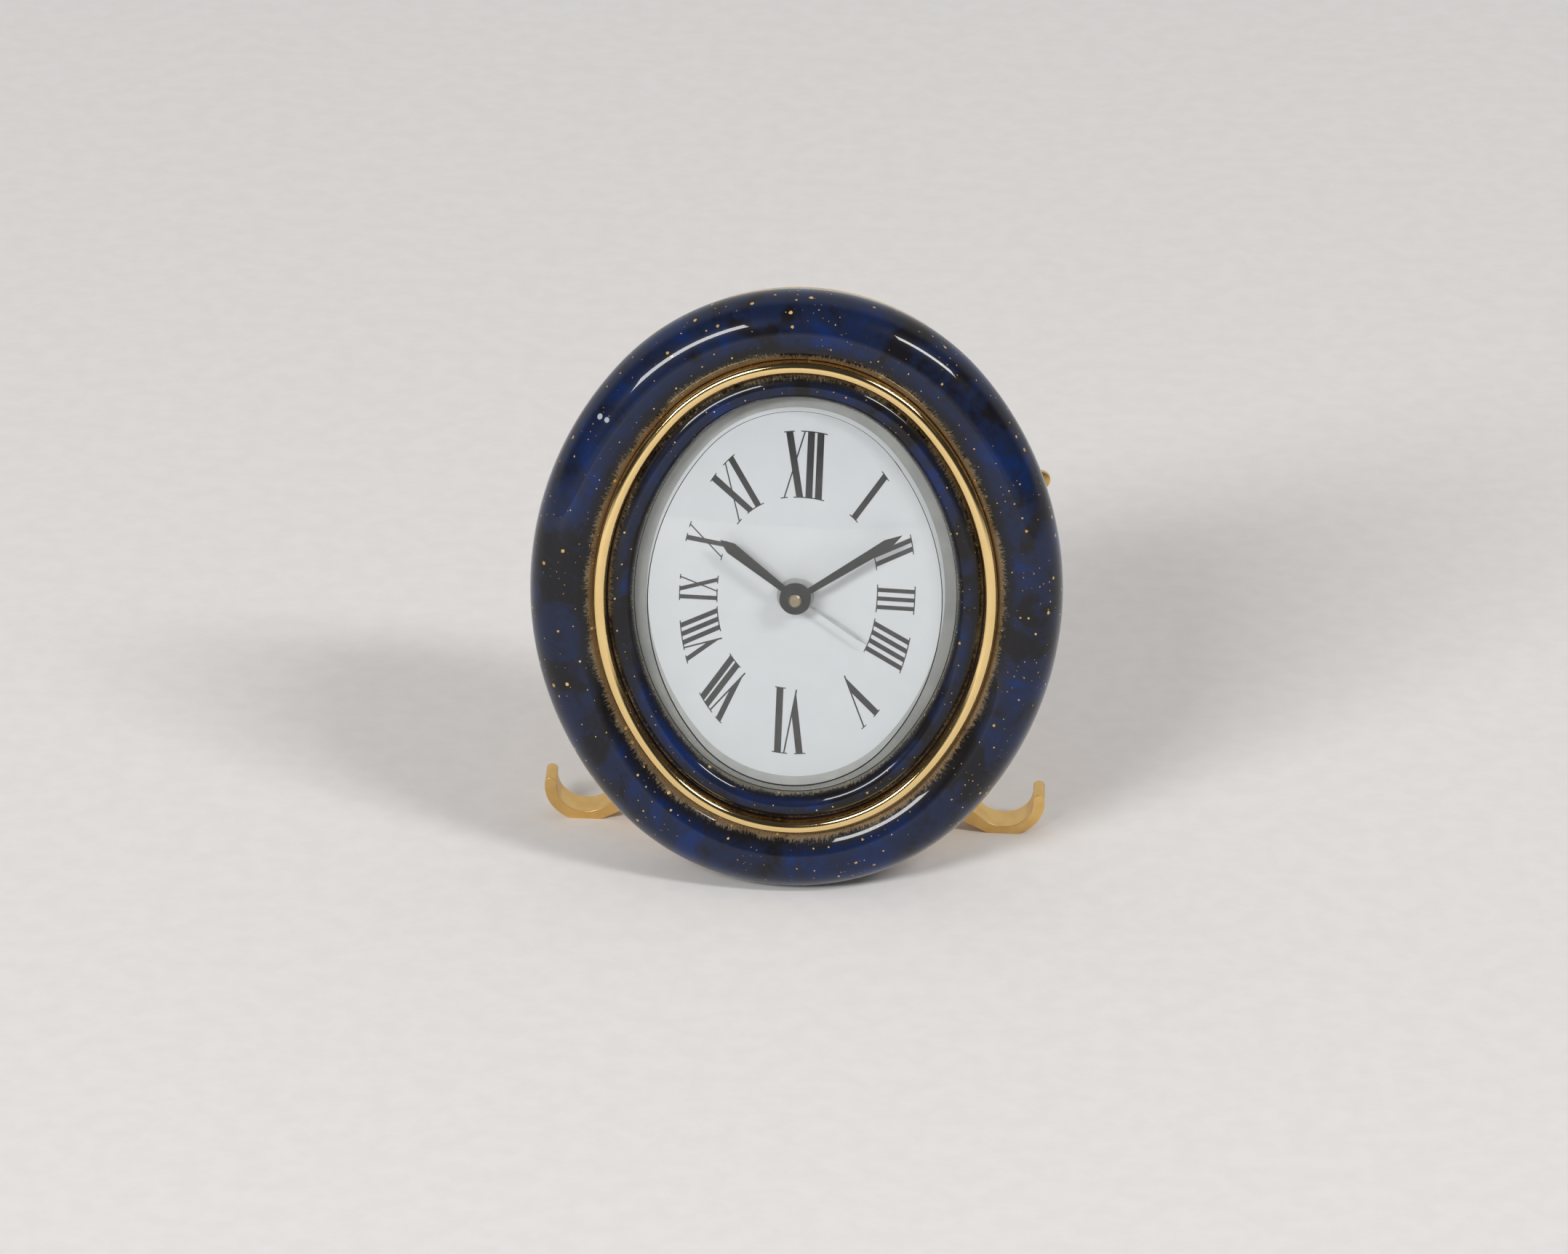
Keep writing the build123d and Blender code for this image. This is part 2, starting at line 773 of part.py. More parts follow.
def build_pieces():
    """Every piece of the clock, by node name, in the lying position."""
    hour_top = dial_level + hour_hand_level
    return {
        "outer_bezel": make_outer_bezel(),
        "gilt_ring": make_gilt_ring(),
        "inner_bezel": make_inner_bezel(),
        "crystal": make_crystal(),
        "dial": make_dial(),
        "movement_holder": make_movement_holder(),
        "back_cover": make_back_cover(),
        "cover_screws": make_cover_screws(),
        "foot": make_foot(),
        "hinge_pin": make_hinge_pin(),
        "battery_hatch": make_battery_hatch(),
        "battery": make_battery(),
        "battery_contacts": make_battery_contacts(),
        "movement_case": make_movement_case(),
        "minute_hand": make_hand(
            minute_hand_length,
            minute_hand_width,
            hand_neck_width,
            minute_hand_angle,
            dial_level + minute_hand_level,
            hand_thickness,
            hand_collet_radius,
            minute_pin_radius,
        ),
        "hour_hand": make_hand(
            hour_hand_length,
            hour_hand_width,
            hand_neck_width,
            hour_hand_angle,
            hour_top,
            hand_thickness,
            hand_collet_radius,
            hour_tube_outer,
        ),
        "alarm_hand": make_hand(
            alarm_hand_length,
            alarm_hand_width,
            alarm_hand_width,
            alarm_hand_angle,
            dial_level + alarm_hand_level,
            alarm_hand_thickness,
            alarm_disc_radius,
            alarm_tube_outer,
        ),
        "minute_arbor": make_minute_arbor(),
        "motion_wheel": make_motion_wheel(),
        "hour_wheel": make_hour_wheel(),
        "alarm_wheel": make_alarm_wheel(),
        "time_knob": make_knob(time_axis, time_knob_radius, motion_layer + motion_layer_thickness),
        "setting_pinion": make_stem_pinion(
            setting_pinion_teeth,
            motion_layer,
            motion_layer + motion_layer_thickness,
            time_axis,
            setting_angle,
        ),
        "alarm_knob": make_knob(alarm_axis, alarm_knob_radius, alarm_layer + alarm_layer_thickness),
        "alarm_pinion": make_stem_pinion(
            alarm_pinion_teeth,
            alarm_layer,
            alarm_layer + alarm_layer_thickness,
            alarm_axis,
            alarm_pinion_angle,
        ),
        "sounder": make_sounder(),
        "alarm_slide": make_alarm_slide(),
    }


def leaned(piece):
    """A node's solids, leaned back from lying to standing, as one shape."""
    pieces = piece if isinstance(piece, list) else [piece]
    turned = [Rot(90 - lean_angle, 0, 0) * part for part in pieces]
    return Compound([solid for part in turned for solid in part.solids()])


shapes = {name: leaned(piece) for name, piece in build_pieces().items()}
boxes = [shape.bounding_box() for shape in shapes.values()]
left, right = min(box.min.X for box in boxes), max(box.max.X for box in boxes)
front, back = min(box.min.Y for box in boxes), max(box.max.Y for box in boxes)
to_origin = Pos(-(left + right) / 2, -(front + back) / 2, -table_level())

os.makedirs("parts", exist_ok=True)
for name, shape in shapes.items():
    export_step(to_origin * shape, f"parts/{name}.step")
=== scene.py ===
import json
import math

import bmesh
import bpy
from mathutils import Matrix, Quaternion, Vector


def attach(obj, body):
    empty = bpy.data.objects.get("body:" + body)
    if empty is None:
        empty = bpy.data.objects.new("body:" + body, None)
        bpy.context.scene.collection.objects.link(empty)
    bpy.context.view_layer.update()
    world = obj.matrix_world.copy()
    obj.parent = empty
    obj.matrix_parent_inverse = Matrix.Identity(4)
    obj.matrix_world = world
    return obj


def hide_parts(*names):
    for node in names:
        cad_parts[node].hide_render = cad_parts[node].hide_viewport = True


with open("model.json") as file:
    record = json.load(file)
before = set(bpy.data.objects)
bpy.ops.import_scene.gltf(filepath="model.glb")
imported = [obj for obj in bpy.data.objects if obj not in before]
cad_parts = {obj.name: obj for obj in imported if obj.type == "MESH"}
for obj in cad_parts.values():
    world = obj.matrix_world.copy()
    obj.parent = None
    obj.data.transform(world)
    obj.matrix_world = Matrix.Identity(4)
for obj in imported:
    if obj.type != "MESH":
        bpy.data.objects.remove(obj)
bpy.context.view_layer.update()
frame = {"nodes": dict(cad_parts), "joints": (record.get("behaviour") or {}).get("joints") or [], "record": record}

# The looks of an oval lacquered alarm clock that stands on its opened gilt foot.
# Shapes are given in millimetres on the clock lying on its back, with the dial up:
# X to the right, Y up the dial, Z out of the dial, and the hands' axis at X = Y = 0.
MM = 0.001

# Case outline, four tangent arcs
BODY_HALF_HEIGHT = 45.0
BODY_HALF_WIDTH = 38.502
END_RADIUS = 34.6005
END_CENTRE = BODY_HALF_HEIGHT - END_RADIUS
SIDE_RADIUS = (BODY_HALF_WIDTH**2 + END_CENTRE**2 - END_RADIUS**2) / (2 * (BODY_HALF_WIDTH - END_RADIUS))
SIDE_CENTRE = SIDE_RADIUS - BODY_HALF_WIDTH
JOIN_TURN = math.atan2(END_CENTRE, SIDE_CENTRE)

# Lacquered band
BAND_RADIUS = 5.4
BAND_INNER_TURN = -40.0
BAND_REAR_TURN = 104.0
GROOVE_INSET = 9.3
SHELF_LEVEL = 3.4
SEAT_LEVEL = 2.7
SHELF_INSET = 11.25
COVER_SEAT = -6.2
COVER_REAR = -7.4
COVER_INSET = 1.4
COVER_EDGE_ROUND = 1.0
SCREW_X = 23.0
SCREW_Y = 2.0
SCREW_HEAD = 0.6
SCREW_SLOT = 0.22
SCREW_SLOT_DEPTH = 0.3
SCREW_CUT_REACH = 2.0
SCREW_CUT_BEHIND = 1.5
REAR_INSET = 1.38
RIM_WIDTH = 1.2
BEZEL_WALL = 1.6

# Gilt bead and inner band
BEAD_OUTSIDE = 9.35
BEAD_INSIDE = 11.2
BEAD_SHOULDER = 4.3
BEAD_CREST = 5.3
BEAD_FULLNESS = 0.85
SEAT_INSIDE = 17.15
INNER_START = 11.3
INNER_EDGE = 15.2
INNER_BASE = 2.85
INNER_RISE = 1.95
INNER_RUN = 13.0
SEAT_RISE = 0.15

# Grey lining under the glass edge: a pale flange, darkened as painted shade of the dial under the bevel
LINING_UNDER = 0.6
LINING_LIFT = 0.012
LINING_THICKNESS = 0.015

# Crystal
GLASS_OUTSIDE = 11.65
GLASS_GAP = 0.03
GLASS_FOOT = 15.3
GLASS_APEX = 6.8
GLASS_DOME_RADIUS = 200.0
GLASS_THICKNESS = 0.4
GLASS_BEVEL = 33.0
DIAL_LEVEL = 1.4

# Alarm slide's slot in the rim
SLOT_TURN = 19.2
SLIDE_WIDTH = 3.0
SLIDE_LENGTH = 9.7
SLIDE_THICKNESS = 1.0
SLIDE_PROUD = 0.35
SLIDE_THUMB = 1.9
SLIDE_GAP = 0.1
SLIDE_EDGE = 0.12
SLOT_HALF_WIDTH = 1.6
SLOT_TRAVEL = 3.0
SLOT_DEPTH = 1.2
SLOT_REACH = 9.45
CUT_BEYOND = 1.0

# Knobs on the back
KNOB_GAP = 0.3
KNOB_HEIGHT = 2.2
KNOB_STEM = 0.9

# Printed hours: the ovals that their outer and inner ends follow
HOURS_OUTER = (16.95, 24.4, 2.15)
HOURS_INNER = (11.55, 14.5, 2.3)
HOURS_SPREAD = 1.1
PRINT_TURN = -1.6
PRINT_SHIFT = 0.2
PRINT_LIFT = 0.012
PRINT_STEP = 0.0005
HAIR_LINE = 0.16
HOURS_BOLD = 1.0
HOURS_THINNER = 0.37


def joint_named(name):
    """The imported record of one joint."""
    return next(joint for joint in frame["joints"] if joint["name"] == name)


hub = Vector(joint_named("minute_turn")["pos_m"])
outwards = -Vector(joint_named("minute_turn")["axis"]).normalized()
rightwards = Vector((1, 0, 0))
upwards = outwards.cross(rightwards)
CLOCK_PLACE = Matrix((rightwards, upwards, outwards)).transposed().to_4x4()
CLOCK_PLACE.translation = hub


def on_lying_clock(place):
    """A place in metres on the standing clock, in millimetres on the lying one."""
    return CLOCK_PLACE.inverted() @ Vector(place) / MM


def on_clock(x, y, z):
    """A point of the lying clock, at its place on the standing one."""
    return CLOCK_PLACE @ Vector((x * MM, y * MM, z * MM))


# Shader building


def set_inputs(tree, node, inputs):
    """Sets or wires inputs of a shader node."""
    for key, value in inputs.items():
        if isinstance(value, bpy.types.NodeSocket):
            tree.links.new(value, node.inputs[key])
        else:
            node.inputs[key].default_value = value


def add_node(tree, kind, settings=None, inputs=None):
    """A shader node with its settings and inputs."""
    made = tree.nodes.new("ShaderNode" + kind)
    for key, value in (settings or {}).items():
        setattr(made, key, value)
    set_inputs(tree, made, inputs or {})
    return made


def work_out(tree, operation, first, second=None, clamp=False):
    """The result of one sum."""
    inputs = {0: first}
    if second is not None:
        inputs[1] = second
    settings = {"operation": operation, "use_clamp": clamp}
    return add_node(tree, "Math", settings, inputs).outputs[0]


def fade(tree, value, low, high, to_low=0.0, to_high=1.0):
    """A value moved smoothly from one range to another."""
    settings = {"interpolation_type": "SMOOTHSTEP"}
    inputs = {"Value": value, "From Min": low, "From Max": high, "To Min": to_low, "To Max": to_high}
    return add_node(tree, "MapRange", settings, inputs).outputs["Result"]


def mix_colour(tree, factor, first, second):
    """Two colours mixed by a factor."""
    ends = [end if isinstance(end, bpy.types.NodeSocket) else (*end, 1.0) for end in (first, second)]
    inputs = {0: factor, 6: ends[0], 7: ends[1]}
    return add_node(tree, "Mix", {"data_type": "RGBA"}, inputs).outputs[2]


def colour_steps(tree, factor, steps):
    """A ramp through colours."""
    made = add_node(tree, "ValToRGB", None, {"Fac": factor})
    stops = made.color_ramp.elements
    while len(stops) < len(steps):
        stops.new(0.5)
    for stop, (place, colour) in zip(stops, steps):
        stop.position = place
        stop.color = (*colour, 1.0)
    return made.outputs["Color"]


def noise_value(tree, place, scale, detail=4.0, roughness=0.55, distortion=0.0):
    """Noise at a place."""
    inputs = {
        "Vector": place,
        "Scale": scale,
        "Detail": detail,
        "Roughness": roughness,
        "Distortion": distortion,
    }
    return add_node(tree, "TexNoise", None, inputs).outputs["Fac"]


def stretched(tree, place, x, y, z):
    """A place scaled along its three directions."""
    return add_node(
        tree, "VectorMath", {"operation": "MULTIPLY"}, {0: place, 1: (x, y, z)}
    ).outputs["Vector"]


def shader_group(name, inputs, outputs):
    """An empty node group with named sockets, and its two ends."""
    tree = bpy.data.node_groups.new(name, "ShaderNodeTree")
    for label, kind, value in inputs:
        socket = tree.interface.new_socket(label, in_out="INPUT", socket_type="NodeSocket" + kind)
        if value is not None:
            socket.default_value = value
    for label, kind in outputs:
        tree.interface.new_socket(label, in_out="OUTPUT", socket_type="NodeSocket" + kind)
    start = tree.nodes.new("NodeGroupInput")
    end = tree.nodes.new("NodeGroupOutput")
    return tree, start.outputs, end.inputs


def finish_group(tree, ends, results):
    """Wires a group's results to its outputs."""
    for label, socket in results.items():
        tree.links.new(socket, ends[label])
    return tree


def make_flecks_group():
    """Round specks of gold of many sizes, a few to each cell of a pattern."""
    tree, given, ends = shader_group(
        "gold_flecks",
        [
            ("Place", "Vector", None),
            ("Cell", "Float", 3.0),
            ("Smallest", "Float", 0.05),
            ("Largest", "Float", 0.25),
            ("Share", "Float", 0.6),
        ],
        [("Mask", "Float"), ("Glint", "Float")],
    )
    scale = work_out(tree, "DIVIDE", 1.0, given["Cell"])
    cells = add_node(
        tree,
        "TexVoronoi",
        {"voronoi_dimensions": "2D", "feature": "F1"},
        {"Vector": given["Place"], "Scale": scale, "Randomness": 0.9},
    )
    parts = add_node(tree, "SeparateColor", None, {"Color": cells.outputs["Color"]}).outputs
    away = work_out(tree, "MULTIPLY", cells.outputs["Distance"], given["Cell"])
    wobble = noise_value(tree, given["Place"], 4.0, 1.0)
    away = work_out(tree, "ADD", away, fade(tree, wobble, 0.3, 0.7, -0.03, 0.03))
    big = work_out(tree, "POWER", parts["Red"], 2.0)
    spread = work_out(tree, "SUBTRACT", given["Largest"], given["Smallest"])
    radius = work_out(tree, "ADD", given["Smallest"], work_out(tree, "MULTIPLY", big, spread))
    edge = work_out(tree, "SUBTRACT", radius, away)
    disc = fade(tree, edge, -0.025, 0.035)
    present = work_out(tree, "LESS_THAN", parts["Green"], given["Share"])
    mask = work_out(tree, "MULTIPLY", disc, present)
    glint = fade(tree, parts["Blue"], 0.0, 1.0, 0.45, 1.0)
    return finish_group(tree, ends, {"Mask": mask, "Glint": glint})


def make_clouds_group():
    """Soft clouds that drift between deep and bright patches."""
    tree, given, ends = shader_group(
        "drifting_clouds",
        [("Place", "Vector", None), ("Scale", "Float", 0.15), ("Drift", "Float", 1.2)],
        [("Cloud", "Float"), ("Vein", "Float")],
    )
    broad = noise_value(tree, given["Place"], given["Scale"], 3.0, 0.5, given["Drift"])
    finer = work_out(tree, "MULTIPLY", given["Scale"], 3.1)
    vein = noise_value(tree, given["Place"], finer, 3.0, 0.55, given["Drift"])
    return finish_group(tree, ends, {"Cloud": broad, "Vein": vein})


def make_dust_and_painted_shade_group():
    """Powdered gold that lies thick at an edge and frays out in short streaks, with a wider band of painted shade
    beside it.
    """
    tree, given, ends = shader_group(
        "powdered_edge_and_painted_shade",
        [
            ("Run", "Vector", None),
            ("Away", "Float", 0.0),
            ("Reach", "Float", 1.3),
        ],
        [("Dust", "Float"), ("PaintedShade", "Float"), ("Grain", "Float")],
    )
    streaks = noise_value(tree, stretched(tree, given["Run"], 3.4, 1.1, 1.0), 1.0, 4.0, 0.7)
    drifts = noise_value(tree, given["Run"], 0.16, 2.0)
    fray = fade(tree, streaks, 0.25, 0.75, -0.45, 0.45)
    fray = work_out(tree, "ADD", fray, fade(tree, drifts, 0.3, 0.7, -0.2, 0.25))
    share = work_out(tree, "DIVIDE", given["Away"], given["Reach"])
    frayed = work_out(tree, "ADD", share, fray)
    dust = fade(tree, frayed, 1.0, 0.35)
    dark = fade(tree, work_out(tree, "ADD", share, work_out(tree, "MULTIPLY", fray, 0.6)), 2.3, 1.0)
    grain = noise_value(tree, given["Run"], 9.0, 3.0, 0.75)
    return finish_group(tree, ends, {"Dust": dust, "PaintedShade": dark, "Grain": grain})


def make_handling_group():
    """Fine marks of use: hairline scratches and the bloom of fingers."""
    tree, given, ends = shader_group(
        "handling_marks",
        [("Place", "Vector", None), ("Smooth", "Float", 0.05), ("Dull", "Float", 0.15)],
        [("Roughness", "Float"), ("Height", "Float")],
    )
    bloom = noise_value(tree, given["Place"], 0.12, 3.0)
    hair = noise_value(tree, stretched(tree, given["Place"], 0.5, 6.0, 6.0), 1.0, 2.0, 0.8)
    marks = fade(tree, hair, 0.62, 0.75)
    amount = work_out(tree, "MAXIMUM", fade(tree, bloom, 0.4, 0.75), work_out(tree, "MULTIPLY", marks, 0.6))
    spread = work_out(tree, "SUBTRACT", given["Dull"], given["Smooth"])
    rough = work_out(tree, "ADD", given["Smooth"], work_out(tree, "MULTIPLY", spread, amount))
    return finish_group(tree, ends, {"Roughness": rough, "Height": hair})


def make_satin_group():
    """Close parallel brushing with a little unevenness of tone."""
    tree, given, ends = shader_group(
        "satin_brushing",
        [("Place", "Vector", None), ("Pitch", "Float", 12.0)],
        [("Height", "Float"), ("Tone", "Float")],
    )
    lines = stretched(tree, given["Place"], 0.25, 1.0, 1.0)
    height = noise_value(tree, lines, given["Pitch"], 3.0, 0.7)
    tone = noise_value(tree, given["Place"], 0.35, 3.0)
    return finish_group(tree, ends, {"Height": height, "Tone": tone})


flecks_group = make_flecks_group()
clouds_group = make_clouds_group()
dust_and_painted_shade_group = make_dust_and_painted_shade_group()
handling_group = make_handling_group()
satin_group = make_satin_group()


def use_group(tree, group, inputs):
    """A shared effect placed in a material with its own values."""
    made = tree.nodes.new("ShaderNodeGroup")
    made.node_tree = group
    set_inputs(tree, made, inputs)
    return made.outputs


def blank_finish(name):
    """A new material with an empty node tree."""
    finish = bpy.data.materials.new(name)
    finish.use_nodes = True
    finish.node_tree.nodes.clear()
    return finish, finish.node_tree


def place_in_mm(tree):
    """The place on the clock, in millimetres."""
    place = add_node(tree, "TexCoord").outputs["Object"]
    return stretched(tree, place, 1000.0, 1000.0, 1000.0)


def raised(tree, height, depth, strength=1.0):
    """A surface normal raised by a height, whose depth is in millimetres."""
    inputs = {"Height": height, "Distance": depth * MM, "Strength": strength}
    return add_node(tree, "Bump", None, inputs).outputs["Normal"]


def surface(tree, inputs):
    """The main shader and its output."""
    shader = add_node(tree, "BsdfPrincipled", None, inputs)
    end = add_node(tree, "OutputMaterial")
    tree.links.new(shader.outputs[0], end.inputs["Surface"])
    return shader


# Finishes

LACQUER_BLACK = (0.0080, 0.0072, 0.0095)
LACQUER_NAVY = (0.0090, 0.0150, 0.042)
LACQUER_ROYAL = (0.0045, 0.0200, 0.095)
# Painted shade: a brown-black that darkens the lacquer beside its powdered edges, in the grooves by the bead and
# the glass.
LACQUER_PAINTED_SHADE = (0.0085, 0.0070, 0.0055)
DUST_BROWN = (0.36, 0.225, 0.105)
DUST_PALE = (0.25, 0.215, 0.15)
FLECK_DEEP = (0.30, 0.17, 0.055)
FLECK_GOLD = (0.60, 0.39, 0.14)
UNDERSIDE_PALE = (0.42, 0.41, 0.37)
BAND_CHIPS = ((147.3, 8.0, 0.42), (147.0, 6.8, 0.38))
CHIP_PALE = (0.36, 0.40, 0.43)
SMALL_FLECKS_MOVED = (17.3, 5.1, 0.0)


def lacquer_clouds(tree, place):
    """Black, navy and royal blue clouds."""
    clouds = use_group(tree, clouds_group, {"Place": place, "Scale": 0.105, "Drift": 0.9})
    mixed = work_out(tree, "ADD", clouds["Cloud"], fade(tree, clouds["Vein"], 0.3, 0.7, -0.06, 0.06))
    steps = ((0.38, LACQUER_BLACK), (0.49, LACQUER_NAVY), (0.55, LACQUER_NAVY), (0.70, LACQUER_ROYAL))
    return colour_steps(tree, mixed, steps)


def lacquer_flecks(tree, run):
    """Large and small gold flecks, crowded in places, and their glint."""
    crowd = fade(tree, noise_value(tree, run, 0.09, 2.0), 0.38, 0.62, 0.2, 0.85)
    large = use_group(
        tree, flecks_group, {"Place": run, "Cell": 2.5, "Smallest": 0.05, "Largest": 0.27, "Share": crowd}
    )
    moved = add_node(tree, "VectorMath", {"operation": "ADD"}, {0: run, 1: SMALL_FLECKS_MOVED}).outputs[0]
    small = use_group(
        tree, flecks_group, {"Place": moved, "Cell": 1.3, "Smallest": 0.045, "Largest": 0.12, "Share": 0.6}
    )
    swarm = fade(tree, noise_value(tree, run, 0.11, 2.0), 0.5, 0.6)
    small_mask = work_out(tree, "MULTIPLY", small["Mask"], swarm)
    flecks = work_out(tree, "MAXIMUM", large["Mask"], work_out(tree, "MULTIPLY", small_mask, 0.8))
    return flecks, large["Glint"]


def powder_and_painted_shade(tree, run, across, colour, edge):
    """A colour with painted shade beside one edge, and powdered gold along that edge."""
    away_from, direction, reach, pale = edge
    away = work_out(tree, "MULTIPLY", work_out(tree, "SUBTRACT", across, away_from), direction)
    dust = use_group(tree, dust_and_painted_shade_group, {"Run": run, "Away": away, "Reach": reach})
    # Painted shade beside the edge, where the groove lies in shade.
    under = work_out(tree, "MULTIPLY", dust["PaintedShade"], 0.9)
    colour = mix_colour(tree, under, colour, LACQUER_PAINTED_SHADE)
    outward = fade(tree, work_out(tree, "DIVIDE", away, reach), 0.3, 1.0, pale, 1.0)
    tint = mix_colour(tree, outward, DUST_BROWN, DUST_PALE)
    amount = work_out(tree, "MULTIPLY", dust["Dust"], fade(tree, dust["Grain"], 0.40, 0.60, 0.1, 1.0))
    return mix_colour(tree, amount, colour, tint)


def make_lacquer(name, edges, chips=(), bare_after=None):
    """Clouded blue lacquer with gold flecks, powdered with gold along its edges and darkened beside them as
    painted shade, under a clear coat.
    """
    finish, tree = blank_finish(name)
    run = add_node(tree, "UVMap", {"uv_map": "run"}).outputs["UV"]
    across = add_node(tree, "SeparateXYZ", None, {0: run}).outputs["Y"]
    place = place_in_mm(tree)
    colour = lacquer_clouds(tree, place)
    flecks, glint = lacquer_flecks(tree, run)
    for edge in edges:
        colour = powder_and_painted_shade(tree, run, across, colour, edge)
    colour = mix_colour(tree, flecks, colour, mix_colour(tree, glint, FLECK_DEEP, FLECK_GOLD))
    for x, y, radius in chips:
        away = add_node(
            tree, "VectorMath", {"operation": "DISTANCE"}, {0: run, 1: (x, y, 0.0)}
        ).outputs["Value"]
        colour = mix_colour(tree, fade(tree, away, radius + 0.06, radius - 0.06), colour, CHIP_PALE)
    if bare_after is not None:
        bare = work_out(tree, "GREATER_THAN", across, bare_after)
        colour = mix_colour(tree, bare, colour, UNDERSIDE_PALE)
    marks = use_group(tree, handling_group, {"Place": place, "Smooth": 0.3, "Dull": 0.42})
    wave = noise_value(tree, place, 0.35, 2.0)
    surface(
        tree,
        {
            "Base Color": colour,
            "Roughness": marks["Roughness"],
            "Specular IOR Level": 0.06,
            "Coat Weight": 1.0,
            "Coat Roughness": 0.03,
            "Coat IOR": 1.35,
            "Normal": raised(tree, wave, 0.01, 0.6),
        },
    )
    return finish


def metal_surface(tree, colour, marks, brushing, depth):
    """Metal with its marks of handling and its brushing."""
    surface(
        tree,
        {
            "Base Color": colour,
            "Metallic": 1.0,
            "Roughness": marks["Roughness"],
            "Normal": raised(tree, brushing["Height"], depth),
        },
    )


GOLD = (0.92, 0.68, 0.32)
GOLD_DEEP = (0.82, 0.57, 0.23)
FOOT_GOLD = (0.84, 0.57, 0.22)
FOOT_GOLD_DEEP = (0.72, 0.44, 0.145)
GILT_SPOTS = (0.45, 0.24, 0.09)


def make_gilt(name, smooth, dull, pitch, depth, deep_share=0.5, light=GOLD, deep=GOLD_DEEP):
    """Gold plate, polished or satin, with brushing and marks of handling."""
    finish, tree = blank_finish(name)
    place = place_in_mm(tree)
    brushing = use_group(tree, satin_group, {"Place": place, "Pitch": pitch})
    marks = use_group(tree, handling_group, {"Place": place, "Smooth": smooth, "Dull": dull})
    tone = fade(tree, brushing["Tone"], 0.35, 0.7, 0.0, deep_share)
    spots = fade(tree, noise_value(tree, place, 0.9, 5.0, 0.7), 0.66, 0.74, 0.0, 0.5)
    colour = mix_colour(tree, tone, light, deep)
    metal_surface(tree, mix_colour(tree, spots, colour, GILT_SPOTS), marks, brushing, depth)
    return finish


def make_metal(name, colour, dark, smooth, dull, pitch=8.0, depth=0.004):
    """Plain bare metal."""
    finish, tree = blank_finish(name)
    place = place_in_mm(tree)
    brushing = use_group(tree, satin_group, {"Place": place, "Pitch": pitch})
    marks = use_group(tree, handling_group, {"Place": place, "Smooth": smooth, "Dull": dull})
    tinted = mix_colour(tree, fade(tree, brushing["Tone"], 0.3, 0.7), colour, dark)
    metal_surface(tree, tinted, marks, brushing, depth)
    return finish


def make_paint(name, colour, other, smooth, dull, depth=0.003, gloss=0.5):
    """Paint, print or moulded plastic, with a faint change of tone."""
    finish, tree = blank_finish(name)
    place = place_in_mm(tree)
    marks = use_group(tree, handling_group, {"Place": place, "Smooth": smooth, "Dull": dull})
    tone = fade(tree, noise_value(tree, place, 0.25, 4.0), 0.3, 0.7)
    grain = noise_value(tree, place, 14.0, 2.0)
    surface(
        tree,
        {
            "Base Color": mix_colour(tree, tone, colour, other),
            "Roughness": marks["Roughness"],
            "Specular IOR Level": gloss,
            "Normal": raised(tree, grain, depth),
        },
    )
    return finish


def make_crystal_finish():
    """Clear glass that lets light through to the dial."""
    finish, tree = blank_finish("clear_crystal")
    place = place_in_mm(tree)
    marks = use_group(tree, handling_group, {"Place": place, "Smooth": 0.0, "Dull": 0.02})
    tint = mix_colour(tree, noise_value(tree, place, 0.1), (0.97, 0.985, 0.98), (0.99, 0.99, 0.985))
    glass = add_node(
        tree,
        "BsdfPrincipled",
        None,
        {
            "Base Color": tint,
            "Metallic": 0.0,
            "Roughness": marks["Roughness"],
            "IOR": 1.5,
            "Transmission Weight": 1.0,
        },
    )
    clear = add_node(tree, "BsdfTransparent", None, {"Color": (0.93, 0.94, 0.94, 1.0)})
    path = add_node(tree, "LightPath").outputs
    passes = work_out(tree, "MAXIMUM", path["Is Shadow Ray"], path["Is Diffuse Ray"])
    mixed = add_node(tree, "MixShader", None, {0: passes, 1: glass.outputs[0], 2: clear.outputs[0]})
    end = add_node(tree, "OutputMaterial")
    tree.links.new(mixed.outputs[0], end.inputs["Surface"])
    return finish


crystal_finish = make_crystal_finish()
bead_gilt = make_gilt("polished_gilt", 0.08, 0.16, 20.0, 0.0015, 0.3)
foot_gilt = make_gilt("satin_gilt", 0.34, 0.46, 14.0, 0.006, 0.6, FOOT_GOLD, FOOT_GOLD_DEEP)
cover_gilt = make_gilt("brushed_gilt", 0.26, 0.4, 8.0, 0.01)
dial_enamel = make_paint("white_enamel", (0.655, 0.665, 0.685), (0.635, 0.645, 0.665), 0.35, 0.5)
# Grey of the lining under the glass edge: a pale flange darkened as painted shade of the dial under the bevel.
lining_with_painted_shade = make_paint("lining_with_painted_shade", (0.36, 0.365, 0.36), (0.42, 0.42, 0.40), 0.4, 0.55)
printing_ink = make_paint("printing_ink", (0.03, 0.03, 0.031), (0.044, 0.044, 0.045), 0.45, 0.6, gloss=0.25)
hand_black = make_paint(
    "matt_black_hands", (0.009, 0.009, 0.01), (0.014, 0.014, 0.015), 0.45, 0.6, gloss=0.25
)
hand_pale = make_paint("pale_alarm_hand", (0.33, 0.36, 0.36), (0.42, 0.44, 0.44), 0.25, 0.4)
moulded_black = make_paint("moulded_black", (0.03, 0.03, 0.032), (0.045, 0.045, 0.047), 0.45, 0.6, 0.01)
pin_brass = make_metal("pin_brass", (0.55, 0.47, 0.34), (0.36, 0.29, 0.19), 0.2, 0.4, 3.0, 0.02)
wheel_brass = make_metal("wheel_brass", (0.72, 0.52, 0.24), (0.60, 0.42, 0.18), 0.25, 0.4)
cell_steel = make_metal("cell_steel", (0.62, 0.62, 0.62), (0.5, 0.5, 0.51), 0.2, 0.35)
sounder_brass = make_metal("sounder_brass", (0.78, 0.6, 0.3), (0.66, 0.48, 0.22), 0.25, 0.4)


# Shape building


